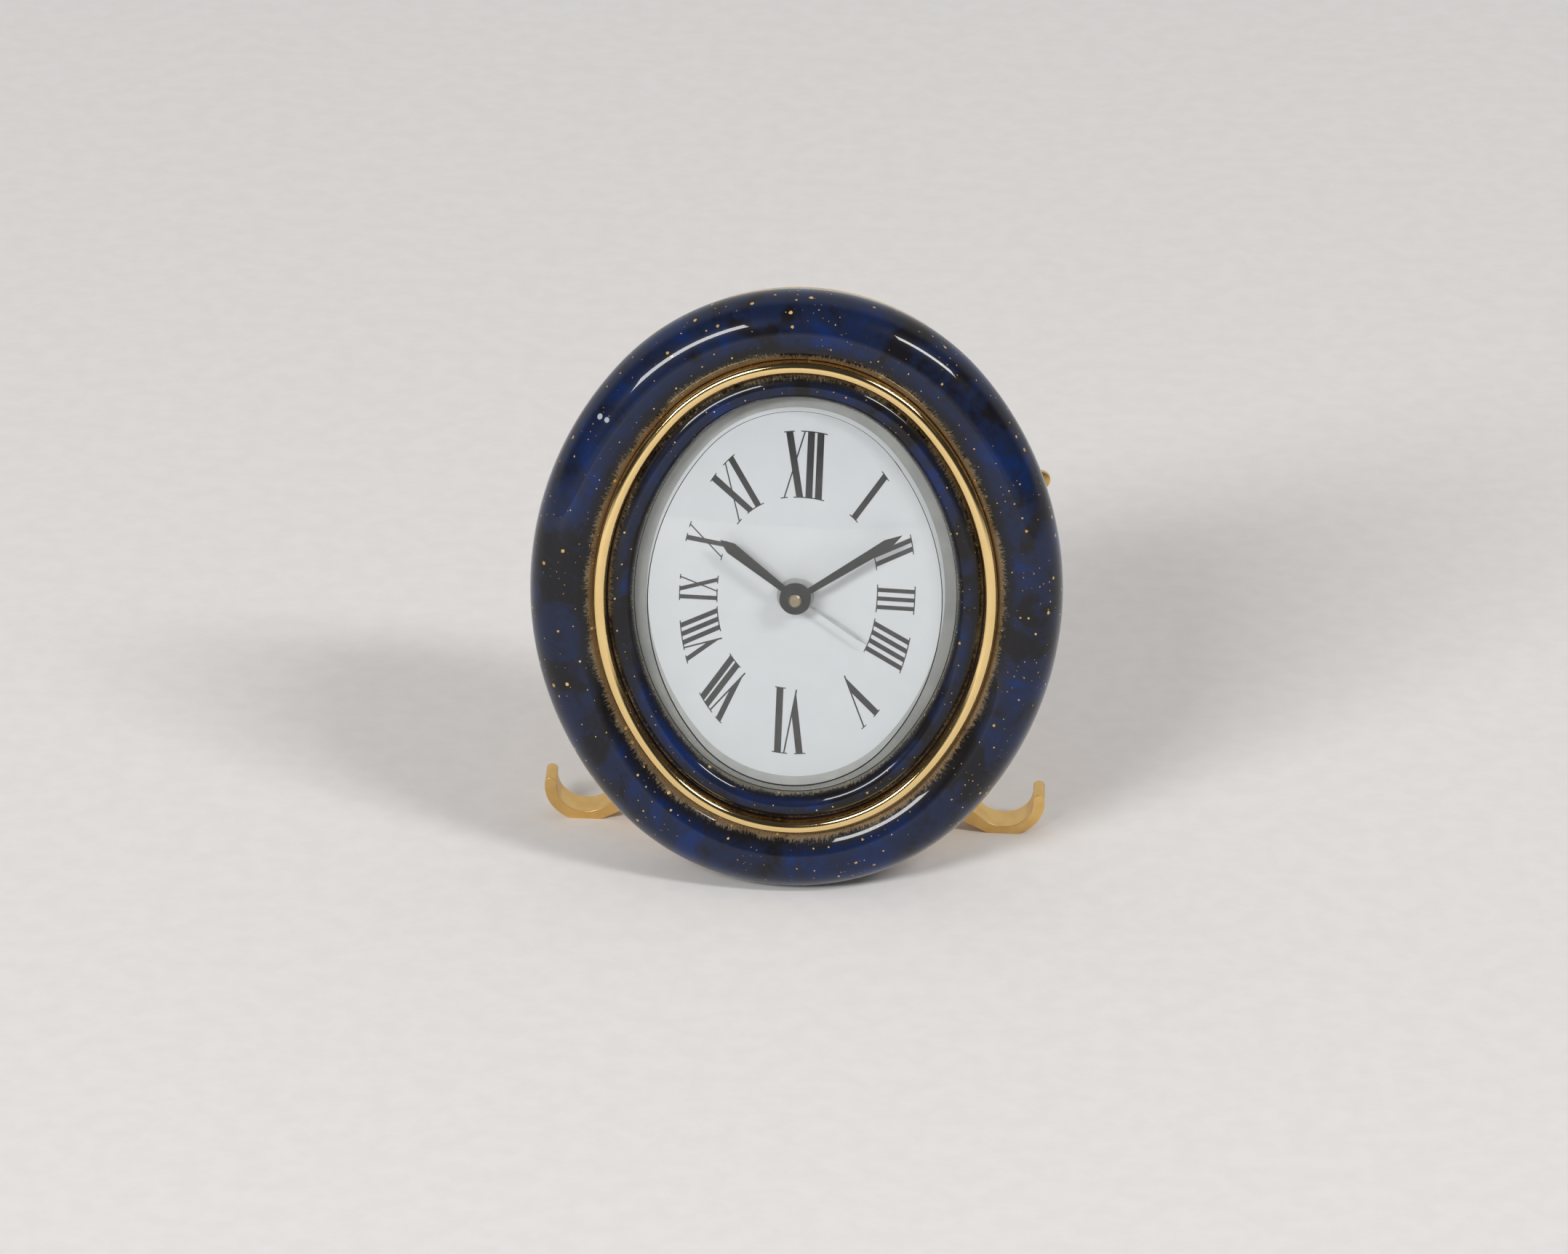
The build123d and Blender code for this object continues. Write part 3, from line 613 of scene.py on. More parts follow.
def outline_point(turn, inset):
    """The point of the outline, drawn in by an inset, whose edge faces along a turn."""
    turn = turn % (2 * math.pi)
    if turn < JOIN_TURN or turn > 2 * math.pi - JOIN_TURN:
        centre_x, centre_y, radius = -SIDE_CENTRE, 0.0, SIDE_RADIUS
    elif turn < math.pi - JOIN_TURN:
        centre_x, centre_y, radius = 0.0, END_CENTRE, END_RADIUS
    elif turn < math.pi + JOIN_TURN:
        centre_x, centre_y, radius = SIDE_CENTRE, 0.0, SIDE_RADIUS
    else:
        centre_x, centre_y, radius = 0.0, -END_CENTRE, END_RADIUS
    radius -= inset
    return centre_x + radius * math.cos(turn), centre_y + radius * math.sin(turn)


def outline_turns(step):
    """Turns at even steps along the outline, from its lowest point round to it again."""
    quarter = math.pi / 2
    corners = (-quarter, -JOIN_TURN, JOIN_TURN, math.pi - JOIN_TURN, math.pi + JOIN_TURN, 3 * quarter)
    radii = (END_RADIUS, SIDE_RADIUS, END_RADIUS, SIDE_RADIUS, END_RADIUS)
    turns = []
    for first, last, radius in zip(corners, corners[1:], radii):
        count = max(2, round((last - first) * radius / step))
        turns += [first + (last - first) * index / count for index in range(count)]
    return turns


RING_TURNS = outline_turns(0.9)
BLOCK_FACES = [(3, 2, 1, 0), (4, 5, 6, 7), (0, 1, 5, 4), (1, 2, 6, 5), (2, 3, 7, 6), (3, 0, 4, 7)]


def turned(x, y, turn):
    """A point turned about the middle of the dial."""
    return x * math.cos(turn) - y * math.sin(turn), x * math.sin(turn) + y * math.cos(turn)


def loop_faces(first, second, size):
    """Four-sided faces between two loops of points, by their places among loops of one size."""
    faces = []
    for step in range(size):
        following = (step + 1) % size
        faces.append(
            (first * size + step, first * size + following, second * size + following, second * size + step)
        )
    return faces


def new_piece(name, mesh, finish, body, replaced=()):
    """A piece from a mesh, with its finish, its body, and the node that it stands for."""
    piece = bpy.data.objects.new(name, mesh)
    bpy.context.scene.collection.objects.link(piece)
    mesh.materials.clear()
    mesh.materials.append(finish)
    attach(piece, body)
    if replaced:
        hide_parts(*replaced)
    return piece


def shade(mesh, angle=35.0):
    """Smooth shading that keeps the edges sharper than an angle."""
    mesh.shade_smooth()
    mesh.set_sharp_from_angle(angle=math.radians(angle))


def faces_outward(mesh):
    """Turns every face of a closed mesh outward."""
    sheet = bmesh.new()
    sheet.from_mesh(mesh)
    bmesh.ops.recalc_face_normals(sheet, faces=sheet.faces)
    sheet.to_mesh(mesh)
    sheet.free()


def mesh_of(name, points, faces, runs=None):
    """A mesh on the clock, with its run along and across the surface as a map."""
    mesh = bpy.data.meshes.new(name)
    mesh.from_pydata([on_clock(*point) for point in points], [], faces)
    if runs:
        layer = mesh.uv_layers.new(name="run")
        for face, places in zip(mesh.polygons, runs):
            for loop, place in zip(face.loop_indices, places):
                layer.data[loop].uv = place
    mesh.update()
    return mesh


def swept_ring(name, section, run_inset=5.0):
    """A ring whose closed section, as insets and levels, runs round the outline."""
    points = []
    for turn in RING_TURNS:
        for inset, level in section:
            x, y = outline_point(turn, inset)
            points.append((x, y, level))
    along = [0.0]
    for turn, following in zip(RING_TURNS, RING_TURNS[1:] + RING_TURNS[:1]):
        x, y = outline_point(turn, run_inset)
        to_x, to_y = outline_point(following, run_inset)
        along.append(along[-1] + math.hypot(to_x - x, to_y - y))
    across = [0.0]
    for (inset, level), (to_inset, to_level) in zip(section, section[1:] + section[:1]):
        across.append(across[-1] + math.hypot(to_inset - inset, to_level - level))
    size = len(section)
    count = len(RING_TURNS)
    faces = []
    runs = []
    for ring in range(count):
        for step in range(size):
            next_ring = (ring + 1) % count
            next_step = (step + 1) % size
            faces.append(
                (
                    ring * size + step,
                    next_ring * size + step,
                    next_ring * size + next_step,
                    ring * size + next_step,
                )
            )
            runs.append(
                (
                    (along[ring], across[step]),
                    (along[ring + 1], across[step]),
                    (along[ring + 1], across[step + 1]),
                    (along[ring], across[step + 1]),
                )
            )
    mesh = mesh_of(name, points, faces, runs)
    faces_outward(mesh)
    return mesh


def applied(piece):
    """The piece's mesh with its modifiers in it."""
    bpy.context.view_layer.update()
    graph = bpy.context.evaluated_depsgraph_get()
    mesh = bpy.data.meshes.new_from_object(piece.evaluated_get(graph))
    old = piece.data
    piece.modifiers.clear()
    piece.data = mesh
    bpy.data.meshes.remove(old)
    return mesh


def cut_away(piece, cutter):
    """Takes a cutter's shape out of a piece."""
    cut = piece.modifiers.new("cut", "BOOLEAN")
    cut.operation = "DIFFERENCE"
    cut.solver = "EXACT"
    cut.object = cutter
    applied(piece)
    bpy.data.objects.remove(cutter)


def lacquer_band_section():
    """The band from its lip at the bead, over its crest and round to the cover, and its inside."""
    section = [(GROOVE_INSET, 3.62), (GROOVE_INSET - 0.05, 3.74), (GROOVE_INSET - 0.17, 3.86)]
    steps = 44
    for step in range(steps + 1):
        turn = math.radians(BAND_INNER_TURN + (BAND_REAR_TURN - BAND_INNER_TURN) * step / steps)
        section.append((BAND_RADIUS * (1 - math.sin(turn)), BAND_RADIUS * math.cos(turn)))
    section += [
        (REAR_INSET - 0.04, COVER_SEAT + 0.15),
        (REAR_INSET + 0.1, COVER_SEAT),
        (REAR_INSET + RIM_WIDTH, COVER_SEAT),
        (BEZEL_WALL, 0.0),
        (GROOVE_INSET, SEAT_LEVEL),
        (SHELF_INSET, SEAT_LEVEL),
        (SHELF_INSET, SHELF_LEVEL),
        (GROOVE_INSET, SHELF_LEVEL),
    ]
    return section


def block_cutter(name, points):
    """A block to cut away, from its four lower and its four upper corners."""
    cutter = bpy.data.objects.new(name, mesh_of(name, points, BLOCK_FACES))
    bpy.context.scene.collection.objects.link(cutter)
    return cutter


def slot_frame_point(x, y, z):
    """A point given along and across the slide's slot, on the lying clock."""
    x_turned, y_turned = turned(x, y, math.radians(SLOT_TURN))
    return x_turned - SIDE_CENTRE, y_turned, z


def slide_slot_cutter():
    """The room in which the alarm slide travels."""
    low_x, high_x = SIDE_RADIUS - SLOT_REACH, SIDE_RADIUS + CUT_BEYOND
    low_y, high_y = -SLOT_HALF_WIDTH - SLOT_TRAVEL, SLOT_HALF_WIDTH
    corners = ((low_x, low_y), (high_x, low_y), (high_x, high_y), (low_x, high_y))
    levels = (COVER_SEAT - CUT_BEYOND, COVER_SEAT + SLOT_DEPTH)
    return block_cutter("slot_room", [slot_frame_point(x, y, z) for z in levels for x, y in corners])


def make_lacquer_band():
    """The outer lacquered band."""
    section = lacquer_band_section()
    finish = make_lacquer("band_lacquer", ((0.2, 1.0, 1.6, 0.25),), BAND_CHIPS)
    mesh = swept_ring("lacquer_band", section)
    piece = new_piece("lacquer_band", mesh, finish, "case", ("outer_bezel",))
    cut_away(piece, slide_slot_cutter())
    shade(piece.data, 40.0)


def make_gilt_bead():
    """The polished bead between the two lacquered bands."""
    middle = (BEAD_OUTSIDE + BEAD_INSIDE) / 2
    half = (BEAD_INSIDE - BEAD_OUTSIDE) / 2
    rise = BEAD_CREST - BEAD_SHOULDER
    steps = 28
    section = [(BEAD_OUTSIDE, SHELF_LEVEL)]
    for step in range(steps + 1):
        turn = math.pi * (1 - step / steps)
        across = math.copysign(abs(math.cos(turn)) ** BEAD_FULLNESS, math.cos(turn))
        level = BEAD_SHOULDER + rise * math.sin(turn) ** BEAD_FULLNESS
        section.append((middle + half * across, level))
    section.append((BEAD_INSIDE, SHELF_LEVEL))
    mesh = swept_ring("gilt_bead", section)
    piece = new_piece("gilt_bead", mesh, bead_gilt, "case", ("gilt_ring",))
    shade(piece.data, 50.0)


def make_inner_band():
    """The inner lacquered band, a half-round moulding down to the glass."""
    middle = (INNER_START + INNER_EDGE) / 2
    half = (INNER_EDGE - INNER_START) / 2
    steps = 26
    section = [(INNER_START, SEAT_LEVEL)]
    for step in range(steps + 1):
        turn = math.pi * (1 - step / steps)
        section.append((middle + half * math.cos(turn), INNER_BASE + INNER_RISE * math.sin(turn)))
    section.append((INNER_EDGE, SEAT_LEVEL))
    length = math.pi * (half + INNER_RISE) / 2 + SEAT_RISE
    edges = ((SEAT_RISE + 0.2, 1.0, 1.5, 0.1), (length, -1.0, 1.15, 1.0))
    finish = make_lacquer("inner_band_lacquer", edges, (), length + 0.1)
    mesh = swept_ring("inner_lacquer_band", section, INNER_RUN)
    piece = new_piece("inner_lacquer_band", mesh, finish, "case", ("inner_bezel",))
    shade(piece.data, 50.0)


def dome_level(x, y, radius, apex):
    """Height of a shallow dome over a point."""
    return apex - radius + math.sqrt(radius**2 - x**2 - y**2)


def bevel_edge(turn, foot_inset, foot_level, radius, apex):
    """Where the sloping bevel meets the dome, for one turn of the outline."""
    slope = math.tan(math.radians(GLASS_BEVEL))
    low, high = 0.0, apex - foot_level
    for _ in range(30):
        rise = (low + high) / 2
        x, y = outline_point(turn, foot_inset + rise * slope)
        if foot_level + rise < dome_level(x, y, radius, apex):
            low = rise
        else:
            high = rise
    x, y = outline_point(turn, foot_inset + low * slope)
    return x, y, foot_level + low


def make_crystal():
    """The bevelled and slightly domed glass, with its flange under the inner band."""
    radius, apex = GLASS_DOME_RADIUS, GLASS_APEX
    bottom = DIAL_LEVEL + GLASS_GAP
    foot_level = SEAT_LEVEL - GLASS_GAP
    slope = math.tan(math.radians(GLASS_BEVEL))
    inside = GLASS_FOOT + GLASS_THICKNESS - slope * (foot_level - bottom)
    shares = (1.0, 0.97, 0.9, 0.75, 0.55, 0.35, 0.15)
    loops = []

    def flat_loop(inset, level):
        loops.append([(*outline_point(turn, inset), level) for turn in RING_TURNS])

    def dome_loops(edge, dome_radius, dome_apex, order):
        for share in order:
            loop = []
            for x, y, level in edge:
                if share < 1.0:
                    level = dome_level(x * share, y * share, dome_radius, dome_apex)
                loop.append((x * share, y * share, level))
            loops.append(loop)

    outer_edge = [bevel_edge(turn, GLASS_FOOT, foot_level, radius, apex) for turn in RING_TURNS]
    inner_edge = [
        bevel_edge(turn, inside, bottom, radius - GLASS_THICKNESS, apex - GLASS_THICKNESS)
        for turn in RING_TURNS
    ]
    flat_loop(GLASS_OUTSIDE, bottom)
    flat_loop(GLASS_OUTSIDE, foot_level)
    flat_loop(GLASS_FOOT, foot_level)
    dome_loops(outer_edge, radius, apex, shares)
    outer_count = len(loops)
    flat_loop(inside, bottom)
    dome_loops(inner_edge, radius - GLASS_THICKNESS, apex - GLASS_THICKNESS, shares)
    size = len(RING_TURNS)
    points = [point for loop in loops for point in loop]
    points += [(0.0, 0.0, apex), (0.0, 0.0, apex - GLASS_THICKNESS)]
    faces = []
    for first in (*range(outer_count - 1), *range(outer_count, len(loops) - 1)):
        faces += loop_faces(first, first + 1, size)
    faces += loop_faces(outer_count, 0, size)
    for last, centre in ((outer_count - 1, len(points) - 2), (len(loops) - 1, len(points) - 1)):
        for step in range(size):
            faces.append((last * size + step, last * size + (step + 1) % size, centre))
    mesh = mesh_of("bevelled_crystal", points, faces)
    faces_outward(mesh)
    piece = new_piece("bevelled_crystal", mesh, crystal_finish, "case", ("crystal",))
    shade(piece.data, 20.0)


def level_faces(piece):
    """Keeps the shading of broad flat faces flat."""
    weigh = piece.modifiers.new("weigh", "WEIGHTED_NORMAL")
    weigh.mode = "FACE_AREA"
    weigh.keep_sharp = True
    applied(piece)


def inset_of(x, y):
    """How far a point lies inside the outline."""
    turn = math.atan2(abs(y), abs(x) + SIDE_CENTRE)
    if turn < JOIN_TURN:
        return SIDE_RADIUS - math.hypot(abs(x) + SIDE_CENTRE, y)
    return END_RADIUS - math.hypot(x, abs(y) - END_CENTRE)


def round_rear_edge(mesh):
    """Rounds the cover's rear edge well over, as a pressed cover is."""
    level_slack, inset_slack = 0.02, 0.03
    sheet = bmesh.new()
    sheet.from_mesh(mesh)
    chosen = []
    for edge in sheet.edges:
        ends = [on_lying_clock(vert.co) for vert in edge.verts]
        at_rear = all(abs(end.z - COVER_REAR) < level_slack for end in ends)
        if at_rear and all(abs(inset_of(end.x, end.y) - COVER_INSET) < inset_slack for end in ends):
            chosen.append(edge)
    bmesh.ops.bevel(sheet, geom=chosen, offset=COVER_EDGE_ROUND * MM, segments=5, profile=0.5, affect="EDGES")
    sheet.to_mesh(mesh)
    sheet.free()


def softened(node, name, body, finish, width, segments=2):
    """A copy of a solid with slightly rounded edges, which stands for it."""
    mesh = frame["nodes"][node].data.copy()
    mesh.name = name
    for label in ("custom_normal", "sharp_edge", "sharp_face"):
        if label in mesh.attributes:
            mesh.attributes.remove(mesh.attributes[label])
    sheet = bmesh.new()
    sheet.from_mesh(mesh)
    bmesh.ops.remove_doubles(sheet, verts=sheet.verts, dist=0.002 * MM)
    bmesh.ops.dissolve_limit(
        sheet, angle_limit=math.radians(0.5), verts=sheet.verts, edges=sheet.edges
    )
    sheet.to_mesh(mesh)
    sheet.free()
    if node == "back_cover":
        round_rear_edge(mesh)
    piece = new_piece(name, mesh, finish, body, (node,))
    edge = piece.modifiers.new("edge", "BEVEL")
    edge.width = width * MM
    edge.segments = segments
    edge.limit_method = "ANGLE"
    edge.angle_limit = math.radians(32)
    applied(piece)
    shade(piece.data, 40.0)
    level_faces(piece)
    return piece


def make_glass_seat():
    """The lining seen under the sloping edge of the glass: a pale flange, painted grey as the shade that falls
    there on the dial.
    """
    low = DIAL_LEVEL + LINING_LIFT
    high = low + LINING_THICKNESS
    outside = GLASS_FOOT - LINING_UNDER
    section = [(outside, low), (outside, high), (SEAT_INSIDE, high), (SEAT_INSIDE, low)]
    mesh = swept_ring("glass_seat", section)
    # The lining's grey is painted shade of the dial's edge under the bevel.
    new_piece("glass_seat", mesh, lining_with_painted_shade, "case")


def make_screws():
    """The two cover screws, with their slots."""
    piece = softened("cover_screws", "rear_screws", "case", cover_gilt, 0.08)
    levels = (COVER_REAR - SCREW_CUT_BEHIND, COVER_REAR - SCREW_HEAD + SCREW_SLOT_DEPTH)
    for side, lean in ((-1, 25.0), (1, 70.0)):
        points = []
        for z in levels:
            for x_side, y_side in ((-1, -1), (1, -1), (1, 1), (-1, 1)):
                x, y = turned(x_side * SCREW_CUT_REACH, y_side * SCREW_SLOT, math.radians(lean))
                points.append((side * SCREW_X + x, SCREW_Y + y, z))
        cut_away(piece, block_cutter("screw_slot", points))
    shade(piece.data, 40.0)


# Printed hours

# Strokes of each hour, read with its foot towards the middle of the dial.
# A stroke is its place at the inner end, its place at the outer end, and whether it is bold.
# A vee is the place of its bold end, of its hair end, and of its point.
# The serifs at the inner and at the outer end are given from and to.
HOUR_FORMS = {
    1: {"bars": ((0, 0),), "inner": ((-0.8, 0.8),), "outer": ((-0.8, 0.8),)},
    2: {"bars": ((-0.65, -0.65), (0.65, 0.65)), "inner": ((-1.45, 1.45),), "outer": ((-1.45, 1.45),)},
    3: {
        "bars": ((-1.3, -1.3), (0, 0), (1.3, 1.3)),
        "inner": ((-2.1, 2.1),),
        "outer": ((-2.15, 2.15),),
    },
    4: {
        "bars": ((-1.9, -1.95), (-0.63, -0.65), (0.63, 0.65), (1.9, 1.95)),
        "inner": ((-2.6, 2.6),),
        "outer": ((-2.7, 2.7),),
    },
    5: {"vees": ((-1.15, 1.5, 0.25),), "outer": ((-1.8, -0.5), (1.05, 1.95))},
    6: {
        "vees": ((-1.57, 0.70, -0.55),),
        "bars": ((1.73, 1.62),),
        "inner": ((0.9, 2.45),),
        "outer": ((-2.45, -0.8), (0.19, 2.45)),
    },
    7: {
        "vees": ((-1.85, -0.05, -0.8),),
        "bars": ((0.75, 0.85), (1.95, 1.98)),
        "inner": ((0.1, 2.6),),
        "outer": ((-2.55, -1.25), (-0.5, 2.7)),
    },
    8: {
        "vees": ((-2.55, -0.8, -1.6),),
        "bars": ((-0.05, -0.05), (1.15, 1.2), (2.35, 2.45)),
        "inner": ((-0.7, 2.95),),
        "outer": ((-3.2, -1.95), (-1.15, 3.15)),
    },
    9: {
        "bars": ((-1.45, -1.5), (1.35, -0.35)),
        "hairs": ((-0.4, 1.5),),
        "inner": ((-2.05, -0.05), (0.75, 1.95)),
        "outer": ((-2.1, -0.95), (-0.9, 0.15), (1.15, 1.85)),
    },
    10: {
        "bars": ((0.95, -0.95),),
        "hairs": ((-0.95, 1.0),),
        "inner": ((-1.4, -0.5), (0.35, 1.55)),
        "outer": ((-1.55, -0.35), (0.55, 1.45)),
    },
    11: {
        "bars": ((0.3, -1.95), (1.6, 1.65)),
        "hairs": ((-1.95, 0.6),),
        "inner": ((-2.45, -1.5), (-0.35, 2.5)),
        "outer": ((-2.65, -1.25), (0.15, 2.4)),
    },
    12: {
        "bars": ((-0.40, -2.35), (0.91, 0.80), (2.28, 2.16)),
        "hairs": ((-2.62, -0.11),),
        "inner": ((-3.13, -2.1), (-1.31, 3.13)),
        "outer": ((-3.13, -1.6), (-0.68, 3.13)),
    },
}


def oval_reach(oval, ray):
    """Distance from the middle of the dial to an oval, along a ray from twelve."""
    half_x, half_y, fullness = oval
    across = abs(math.sin(ray) / half_x) ** fullness
    up = abs(math.cos(ray) / half_y) ** fullness
    return (across + up) ** (-1 / fullness)


def print_point(oval, ray, shift, lift=0.0):
    """A point of the print: on an oval, beside a ray by a shift, and outwards by a lift."""
    turn = ray
    for _ in range(4):
        reach = oval_reach(oval, turn)
        off = reach * math.sin(turn - ray)
        turn += (shift - off) / reach
    reach = oval_reach(oval, turn) + lift
    return reach * math.sin(turn), reach * math.cos(turn)


def crossing(first, second, third, fourth):
    """Where the line through two points meets the line through two others."""
    x1, y1 = first
    x2, y2 = second
    x3, y3 = third
    x4, y4 = fourth
    cross = (x1 - x2) * (y3 - y4) - (y1 - y2) * (x3 - x4)
    one = x1 * y2 - y1 * x2
    other = x3 * y4 - y3 * x4
    return (
        (one * (x3 - x4) - (x1 - x2) * other) / cross,
        (one * (y3 - y4) - (y1 - y2) * other) / cross,
    )


def hour_shapes(hour):
    """The flat shapes that make one printed hour."""
    angle = math.radians(30 * hour)
    ray = math.atan2(HOURS_SPREAD * math.sin(angle), math.cos(angle))
    bold = HOURS_BOLD - HOURS_THINNER * math.sin(ray) ** 2
    form = HOUR_FORMS[hour]
    shapes = []

    def bar(inner, outer, width):
        half = width / 2
        shapes.append(
            [
                print_point(HOURS_INNER, ray, inner - half),
                print_point(HOURS_INNER, ray, inner + half),
                print_point(HOURS_OUTER, ray, outer + half),
                print_point(HOURS_OUTER, ray, outer - half),
            ]
        )

    for inner, outer in form.get("bars", ()):
        bar(inner, outer, bold)
    for inner, outer in form.get("hairs", ()):
        bar(inner, outer, HAIR_LINE * 1.3)
    for bold_end, hair_end, point in form.get("vees", ()):
        tip = print_point(HOURS_INNER, ray, point, 0.1)
        outside = print_point(HOURS_OUTER, ray, bold_end - bold / 2)
        inside = print_point(HOURS_OUTER, ray, bold_end + bold / 2)
        hair_out = print_point(HOURS_OUTER, ray, hair_end + HAIR_LINE * 0.7)
        hair_in = print_point(HOURS_OUTER, ray, hair_end - HAIR_LINE * 0.7)
        step = (tip[0] - outside[0], tip[1] - outside[1])
        beside = (inside[0] + step[0], inside[1] + step[1])
        joint = crossing(inside, beside, hair_out, tip)
        shapes.append([outside, inside, joint, tip])
        inner_tip = (tip[0] + hair_in[0] - hair_out[0], tip[1] + hair_in[1] - hair_out[1])
        shapes.append([hair_in, hair_out, tip, inner_tip])
    lift = HAIR_LINE / 2
    steps = 6
    for oval, end in ((HOURS_INNER, "inner"), (HOURS_OUTER, "outer")):
        for low, high in form.get(end, ()):
            places = [low + (high - low) * step / steps for step in range(steps + 1)]
            far = [print_point(oval, ray, place, lift) for place in places]
            near = [print_point(oval, ray, place, -lift) for place in reversed(places)]
            shapes.append(far + near)
    return shapes


def make_hours():
    """The twelve printed hours as one thin layer on the dial."""
    turn = math.radians(PRINT_TURN)
    points = []
    faces = []
    for hour in sorted(HOUR_FORMS):
        for index, shape in enumerate(hour_shapes(hour)):
            first = len(points)
            level = DIAL_LEVEL + PRINT_LIFT + PRINT_STEP * index
            for x, y in shape:
                x_turned, y_turned = turned(x, y, turn)
                points.append((x_turned + PRINT_SHIFT, y_turned, level))
            faces.append(tuple(range(first, len(points))))
    mesh = mesh_of("printed_hours", points, faces)
    sheet = bmesh.new()
    sheet.from_mesh(mesh)
    for face in sheet.faces:
        face.normal_update()
        if face.normal.dot(outwards) < 0:
            face.normal_flip()
    sheet.to_mesh(mesh)
    sheet.free()
    new_piece("printed_hours", mesh, printing_ink, "case")


def make_alarm_slide():
    """The alarm's flat slide, with a rounded thumb end just proud of the band."""
    half = SLIDE_WIDTH / 2
    tip = SIDE_RADIUS + SLIDE_PROUD
    outline = [(tip - SLIDE_LENGTH, -half), (tip - SLIDE_THUMB, -half)]
    steps = 16
    for step in range(1, steps):
        turn = -math.pi / 2 + math.pi * step / steps
        outline.append((tip - SLIDE_THUMB + SLIDE_THUMB * math.cos(turn), half * math.sin(turn)))
    outline += [(tip - SLIDE_THUMB, half), (tip - SLIDE_LENGTH, half)]
    size = len(outline)
    points = []
    for level in (COVER_SEAT + SLIDE_GAP, COVER_SEAT + SLIDE_GAP + SLIDE_THICKNESS):
        points += [slot_frame_point(x, y, level) for x, y in outline]
    faces = [tuple(range(size)), tuple(range(size, 2 * size))] + loop_faces(0, 1, size)
    mesh = mesh_of("alarm_slide_bar", points, faces)
    faces_outward(mesh)
    piece = new_piece("alarm_slide_bar", mesh, foot_gilt, "alarm_slide", ("alarm_slide",))
    edge = piece.modifiers.new("edge", "BEVEL")
    edge.width = SLIDE_EDGE * MM
    edge.segments = 2
    edge.limit_method = "ANGLE"
    applied(piece)
    shade(piece.data, 35.0)


# Knobs


def ring_of(centre, radius, level, count, wave=0.0, ridges=0):
    """A round or ridged loop of points about a centre."""
    loop = []
    for step in range(count):
        turn = 2 * math.pi * step / count
        reach = radius - wave * (0.5 - 0.5 * math.cos(ridges * turn))
        loop.append((centre[0] + reach * math.cos(turn), centre[1] + reach * math.sin(turn), level))
    return loop


def lathe(name, loops):
    """A closed turned mesh through loops of equal size."""
    size = len(loops[0])
    points = [point for loop in loops for point in loop]
    faces = []
    for first in range(len(loops) - 1):
        faces += loop_faces(first, first + 1, size)
    faces.append(tuple(range(size)))
    faces.append(tuple(range((len(loops) - 1) * size, len(loops) * size)))
    mesh = mesh_of(name, points, faces)
    faces_outward(mesh)
    return mesh


def frame_body(node):
    """The body that a node belongs to."""
    bodies = frame["record"]["behaviour"]["bodies"]
    return next(body for body, nodes in bodies.items() if node in nodes)


def make_knob(node, name, joint, radius, ridges, stem_top):
    """A ridged knob with a dished face, on its stem."""
    centre = on_lying_clock(joint_named(joint)["pos_m"])
    front = COVER_REAR - KNOB_GAP
    rear = front - KNOB_HEIGHT
    count = ridges * 6
    profile = (
        (KNOB_STEM, stem_top, 0.0),
        (KNOB_STEM, front, 0.0),
        (radius - 0.5, front, 0.0),
        (radius - 0.2, front - 0.12, 0.12),
        (radius - 0.05, front - 0.3, 0.22),
        (radius - 0.05, rear + 0.35, 0.22),
        (radius - 0.25, rear + 0.1, 0.12),
        (radius - 0.55, rear, 0.0),
        (radius - 0.95, rear, 0.0),
        (radius - 1.1, rear + 0.12, 0.0),
        (radius - 1.2, rear + 0.3, 0.0),
        (radius - 1.6, rear + 0.38, 0.0),
        (0.3, rear + 0.4, 0.0),
    )
    loops = [
        ring_of(centre, size, level, count, wave, ridges) for size, level, wave in profile
    ]
    mesh = lathe(name, loops)
    piece = new_piece(name, mesh, cover_gilt, frame_body(node), (node,))
    shade(piece.data, 35.0)


# Assembly

make_lacquer_band()
make_gilt_bead()
make_inner_band()
make_glass_seat()
make_crystal()
make_hours()
softened("back_cover", "gilt_back_cover", "case", cover_gilt, 0.12)
softened("foot", "scroll_foot", "foot", foot_gilt, 0.22, 3)
softened("battery_hatch", "coin_slot_hatch", "battery_hatch", foot_gilt, 0.2)
make_screws()
softened("hinge_pin", "foot_pin", "case", foot_gilt, 0.1)
make_alarm_slide()
softened("minute_hand", "minute_blade", "minute", hand_black, 0.03)
softened("hour_hand", "hour_blade", "hour", hand_black, 0.03)
softened("alarm_hand", "alarm_needle", "alarm", hand_pale, 0.02)
make_knob("time_knob", "hour_setting_knob", "time_knob_turn", 4.0, 30, -1.0)
make_knob("alarm_knob", "alarm_setting_knob", "alarm_knob_turn", 3.4, 26, 0.7)

NODE_FINISHES = {
    "dial": dial_enamel,
    "movement_holder": moulded_black,
    "movement_case": moulded_black,
    "battery": cell_steel,
    "battery_contacts": cell_steel,
    "minute_arbor": pin_brass,
    "motion_wheel": wheel_brass,
    "hour_wheel": wheel_brass,
    "alarm_wheel": wheel_brass,
    "setting_pinion": wheel_brass,
    "alarm_pinion": wheel_brass,
    "sounder": sounder_brass,
}
for node_name, node_object in frame["nodes"].items():
    node_object.data.materials.clear()
    node_object.data.materials.append(NODE_FINISHES.get(node_name, cover_gilt))


# Stage, light and camera


FLOOR_PALE = (0.84, 0.815, 0.79)
FLOOR_SHADE = (0.81, 0.785, 0.76)
WALL_SEEN = (0.73, 0.70, 0.67)
ROOM_LIGHT = (0.36, 0.36, 0.37)
MIRRORED_TABLE = (0.60, 0.59, 0.58)
MIRRORED_ROOM = (0.035, 0.036, 0.04)
MIRRORED_WALL = (0.62, 0.61, 0.60)


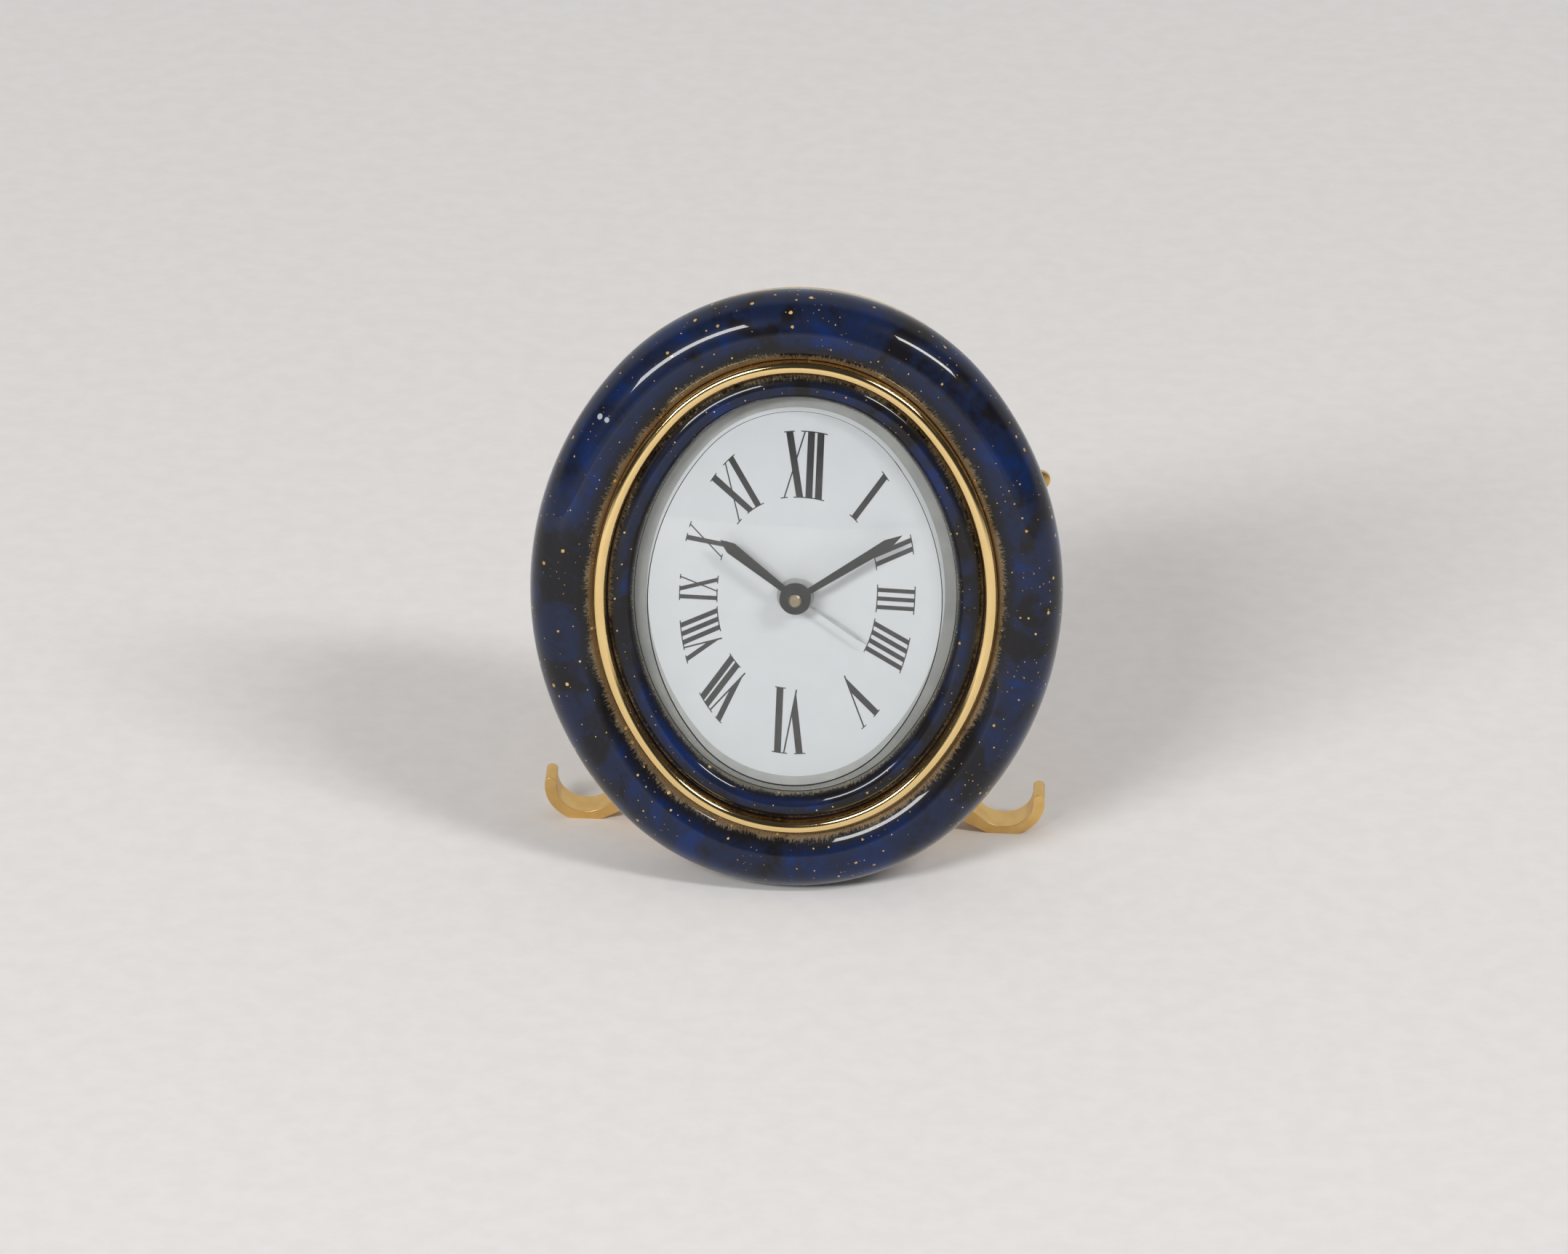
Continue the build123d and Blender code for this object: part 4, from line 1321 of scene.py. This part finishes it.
def make_floor():
    """A plain pale floor."""
    size = 4.0
    steps = 8
    points = []
    faces = []
    for row in range(steps + 1):
        for column in range(steps + 1):
            points.append((size * (column / steps - 0.5), size * (row / steps - 0.5), 0.0))
    for row in range(steps):
        for column in range(steps):
            corner = row * (steps + 1) + column
            faces.append((corner, corner + 1, corner + steps + 2, corner + steps + 1))
    mesh = bpy.data.meshes.new("pale_floor")
    mesh.from_pydata(points, [], faces)
    floor = bpy.data.objects.new("pale_floor", mesh)
    bpy.context.scene.collection.objects.link(floor)
    finish = make_paint("pale_floor", FLOOR_PALE, FLOOR_SHADE, 0.8, 0.9, 0.0, 0.1)
    mesh.materials.append(finish)


def make_world():
    """A dim room with a pale wall behind, and an even pale background to the camera."""
    world = bpy.data.worlds.new("studio_room")
    world.use_nodes = True
    tree = world.node_tree
    tree.nodes.clear()
    ray = add_node(tree, "TexCoord").outputs["Generated"]
    parts = add_node(tree, "SeparateXYZ", None, {0: ray}).outputs
    above = fade(tree, parts["Z"], 0.0, 0.13)
    ahead = mix_colour(tree, above, MIRRORED_TABLE, MIRRORED_ROOM)
    behind = fade(tree, parts["Y"], -0.05, 0.4)
    mirrored = mix_colour(tree, behind, ahead, MIRRORED_WALL)
    path = add_node(tree, "LightPath").outputs
    colour = mix_colour(tree, path["Is Glossy Ray"], ROOM_LIGHT, mirrored)
    colour = mix_colour(tree, path["Is Camera Ray"], colour, WALL_SEEN)
    back = add_node(tree, "Background", None, {"Color": colour, "Strength": 1.0})
    end = add_node(tree, "OutputWorld")
    tree.links.new(back.outputs[0], end.inputs["Surface"])
    bpy.context.scene.world = world


def direction(azimuth, elevation):
    """A direction from the clock, by its turn to the right of the front and its height."""
    turn, rise = math.radians(azimuth), math.radians(elevation)
    return Vector((math.sin(turn) * math.cos(rise), -math.cos(turn) * math.cos(rise), math.sin(rise)))


LAMP_DISTANCE = 2.4


def make_lamp(name, azimuth, elevation, width, height, roll, radiance):
    """A soft lamp that faces the clock."""
    light = bpy.data.lights.new(name, "AREA")
    light.shape = "RECTANGLE"
    light.size = width
    light.size_y = height
    light.energy = radiance * math.pi * width * height
    lamp = bpy.data.objects.new(name, light)
    bpy.context.scene.collection.objects.link(lamp)
    way = direction(azimuth, elevation)
    lamp.location = hub + way * LAMP_DISTANCE
    turn = way.to_track_quat("Z", "Y") @ Quaternion((0, 0, 1), math.radians(roll))
    lamp.rotation_euler = turn.to_euler()


CAMERA_AZIMUTH = 2.0
CAMERA_ROLL = 1.1
CAMERA_ELEVATION = 27.0
CAMERA_DISTANCE = 1.1
CAMERA_LENS = 175.7
FILM_WIDTH = 36.0
PIN_TOP = 5.35
AIM_RIGHT = 1.55
AIM_UP = 3.67


def make_camera():
    """The camera at the photograph's angle."""
    data = bpy.data.cameras.new("photo_view")
    data.sensor_fit = "HORIZONTAL"
    data.sensor_width = FILM_WIDTH
    data.lens = CAMERA_LENS
    camera = bpy.data.objects.new("photo_view", data)
    bpy.context.scene.collection.objects.link(camera)
    way = direction(CAMERA_AZIMUTH, CAMERA_ELEVATION)
    turn = way.to_track_quat("Z", "Y") @ Quaternion((0, 0, 1), math.radians(CAMERA_ROLL))
    camera_right = turn @ Vector((1, 0, 0))
    camera_up = turn @ Vector((0, 1, 0))
    aim = on_clock(0, 0, PIN_TOP) - camera_right * AIM_RIGHT * MM - camera_up * AIM_UP * MM
    camera.location = aim + way * CAMERA_DISTANCE
    camera.rotation_euler = turn.to_euler()
    bpy.context.scene.camera = camera


make_floor()
make_world()
make_lamp("left_softbox", -32.0, 31.0, 1.2, 0.4, 38.0, 23.0)
make_lamp("right_softbox", 53.0, 44.0, 0.85, 0.27, -45.0, 28.0)
make_camera()
bpy.context.scene.view_settings.view_transform = "Standard"
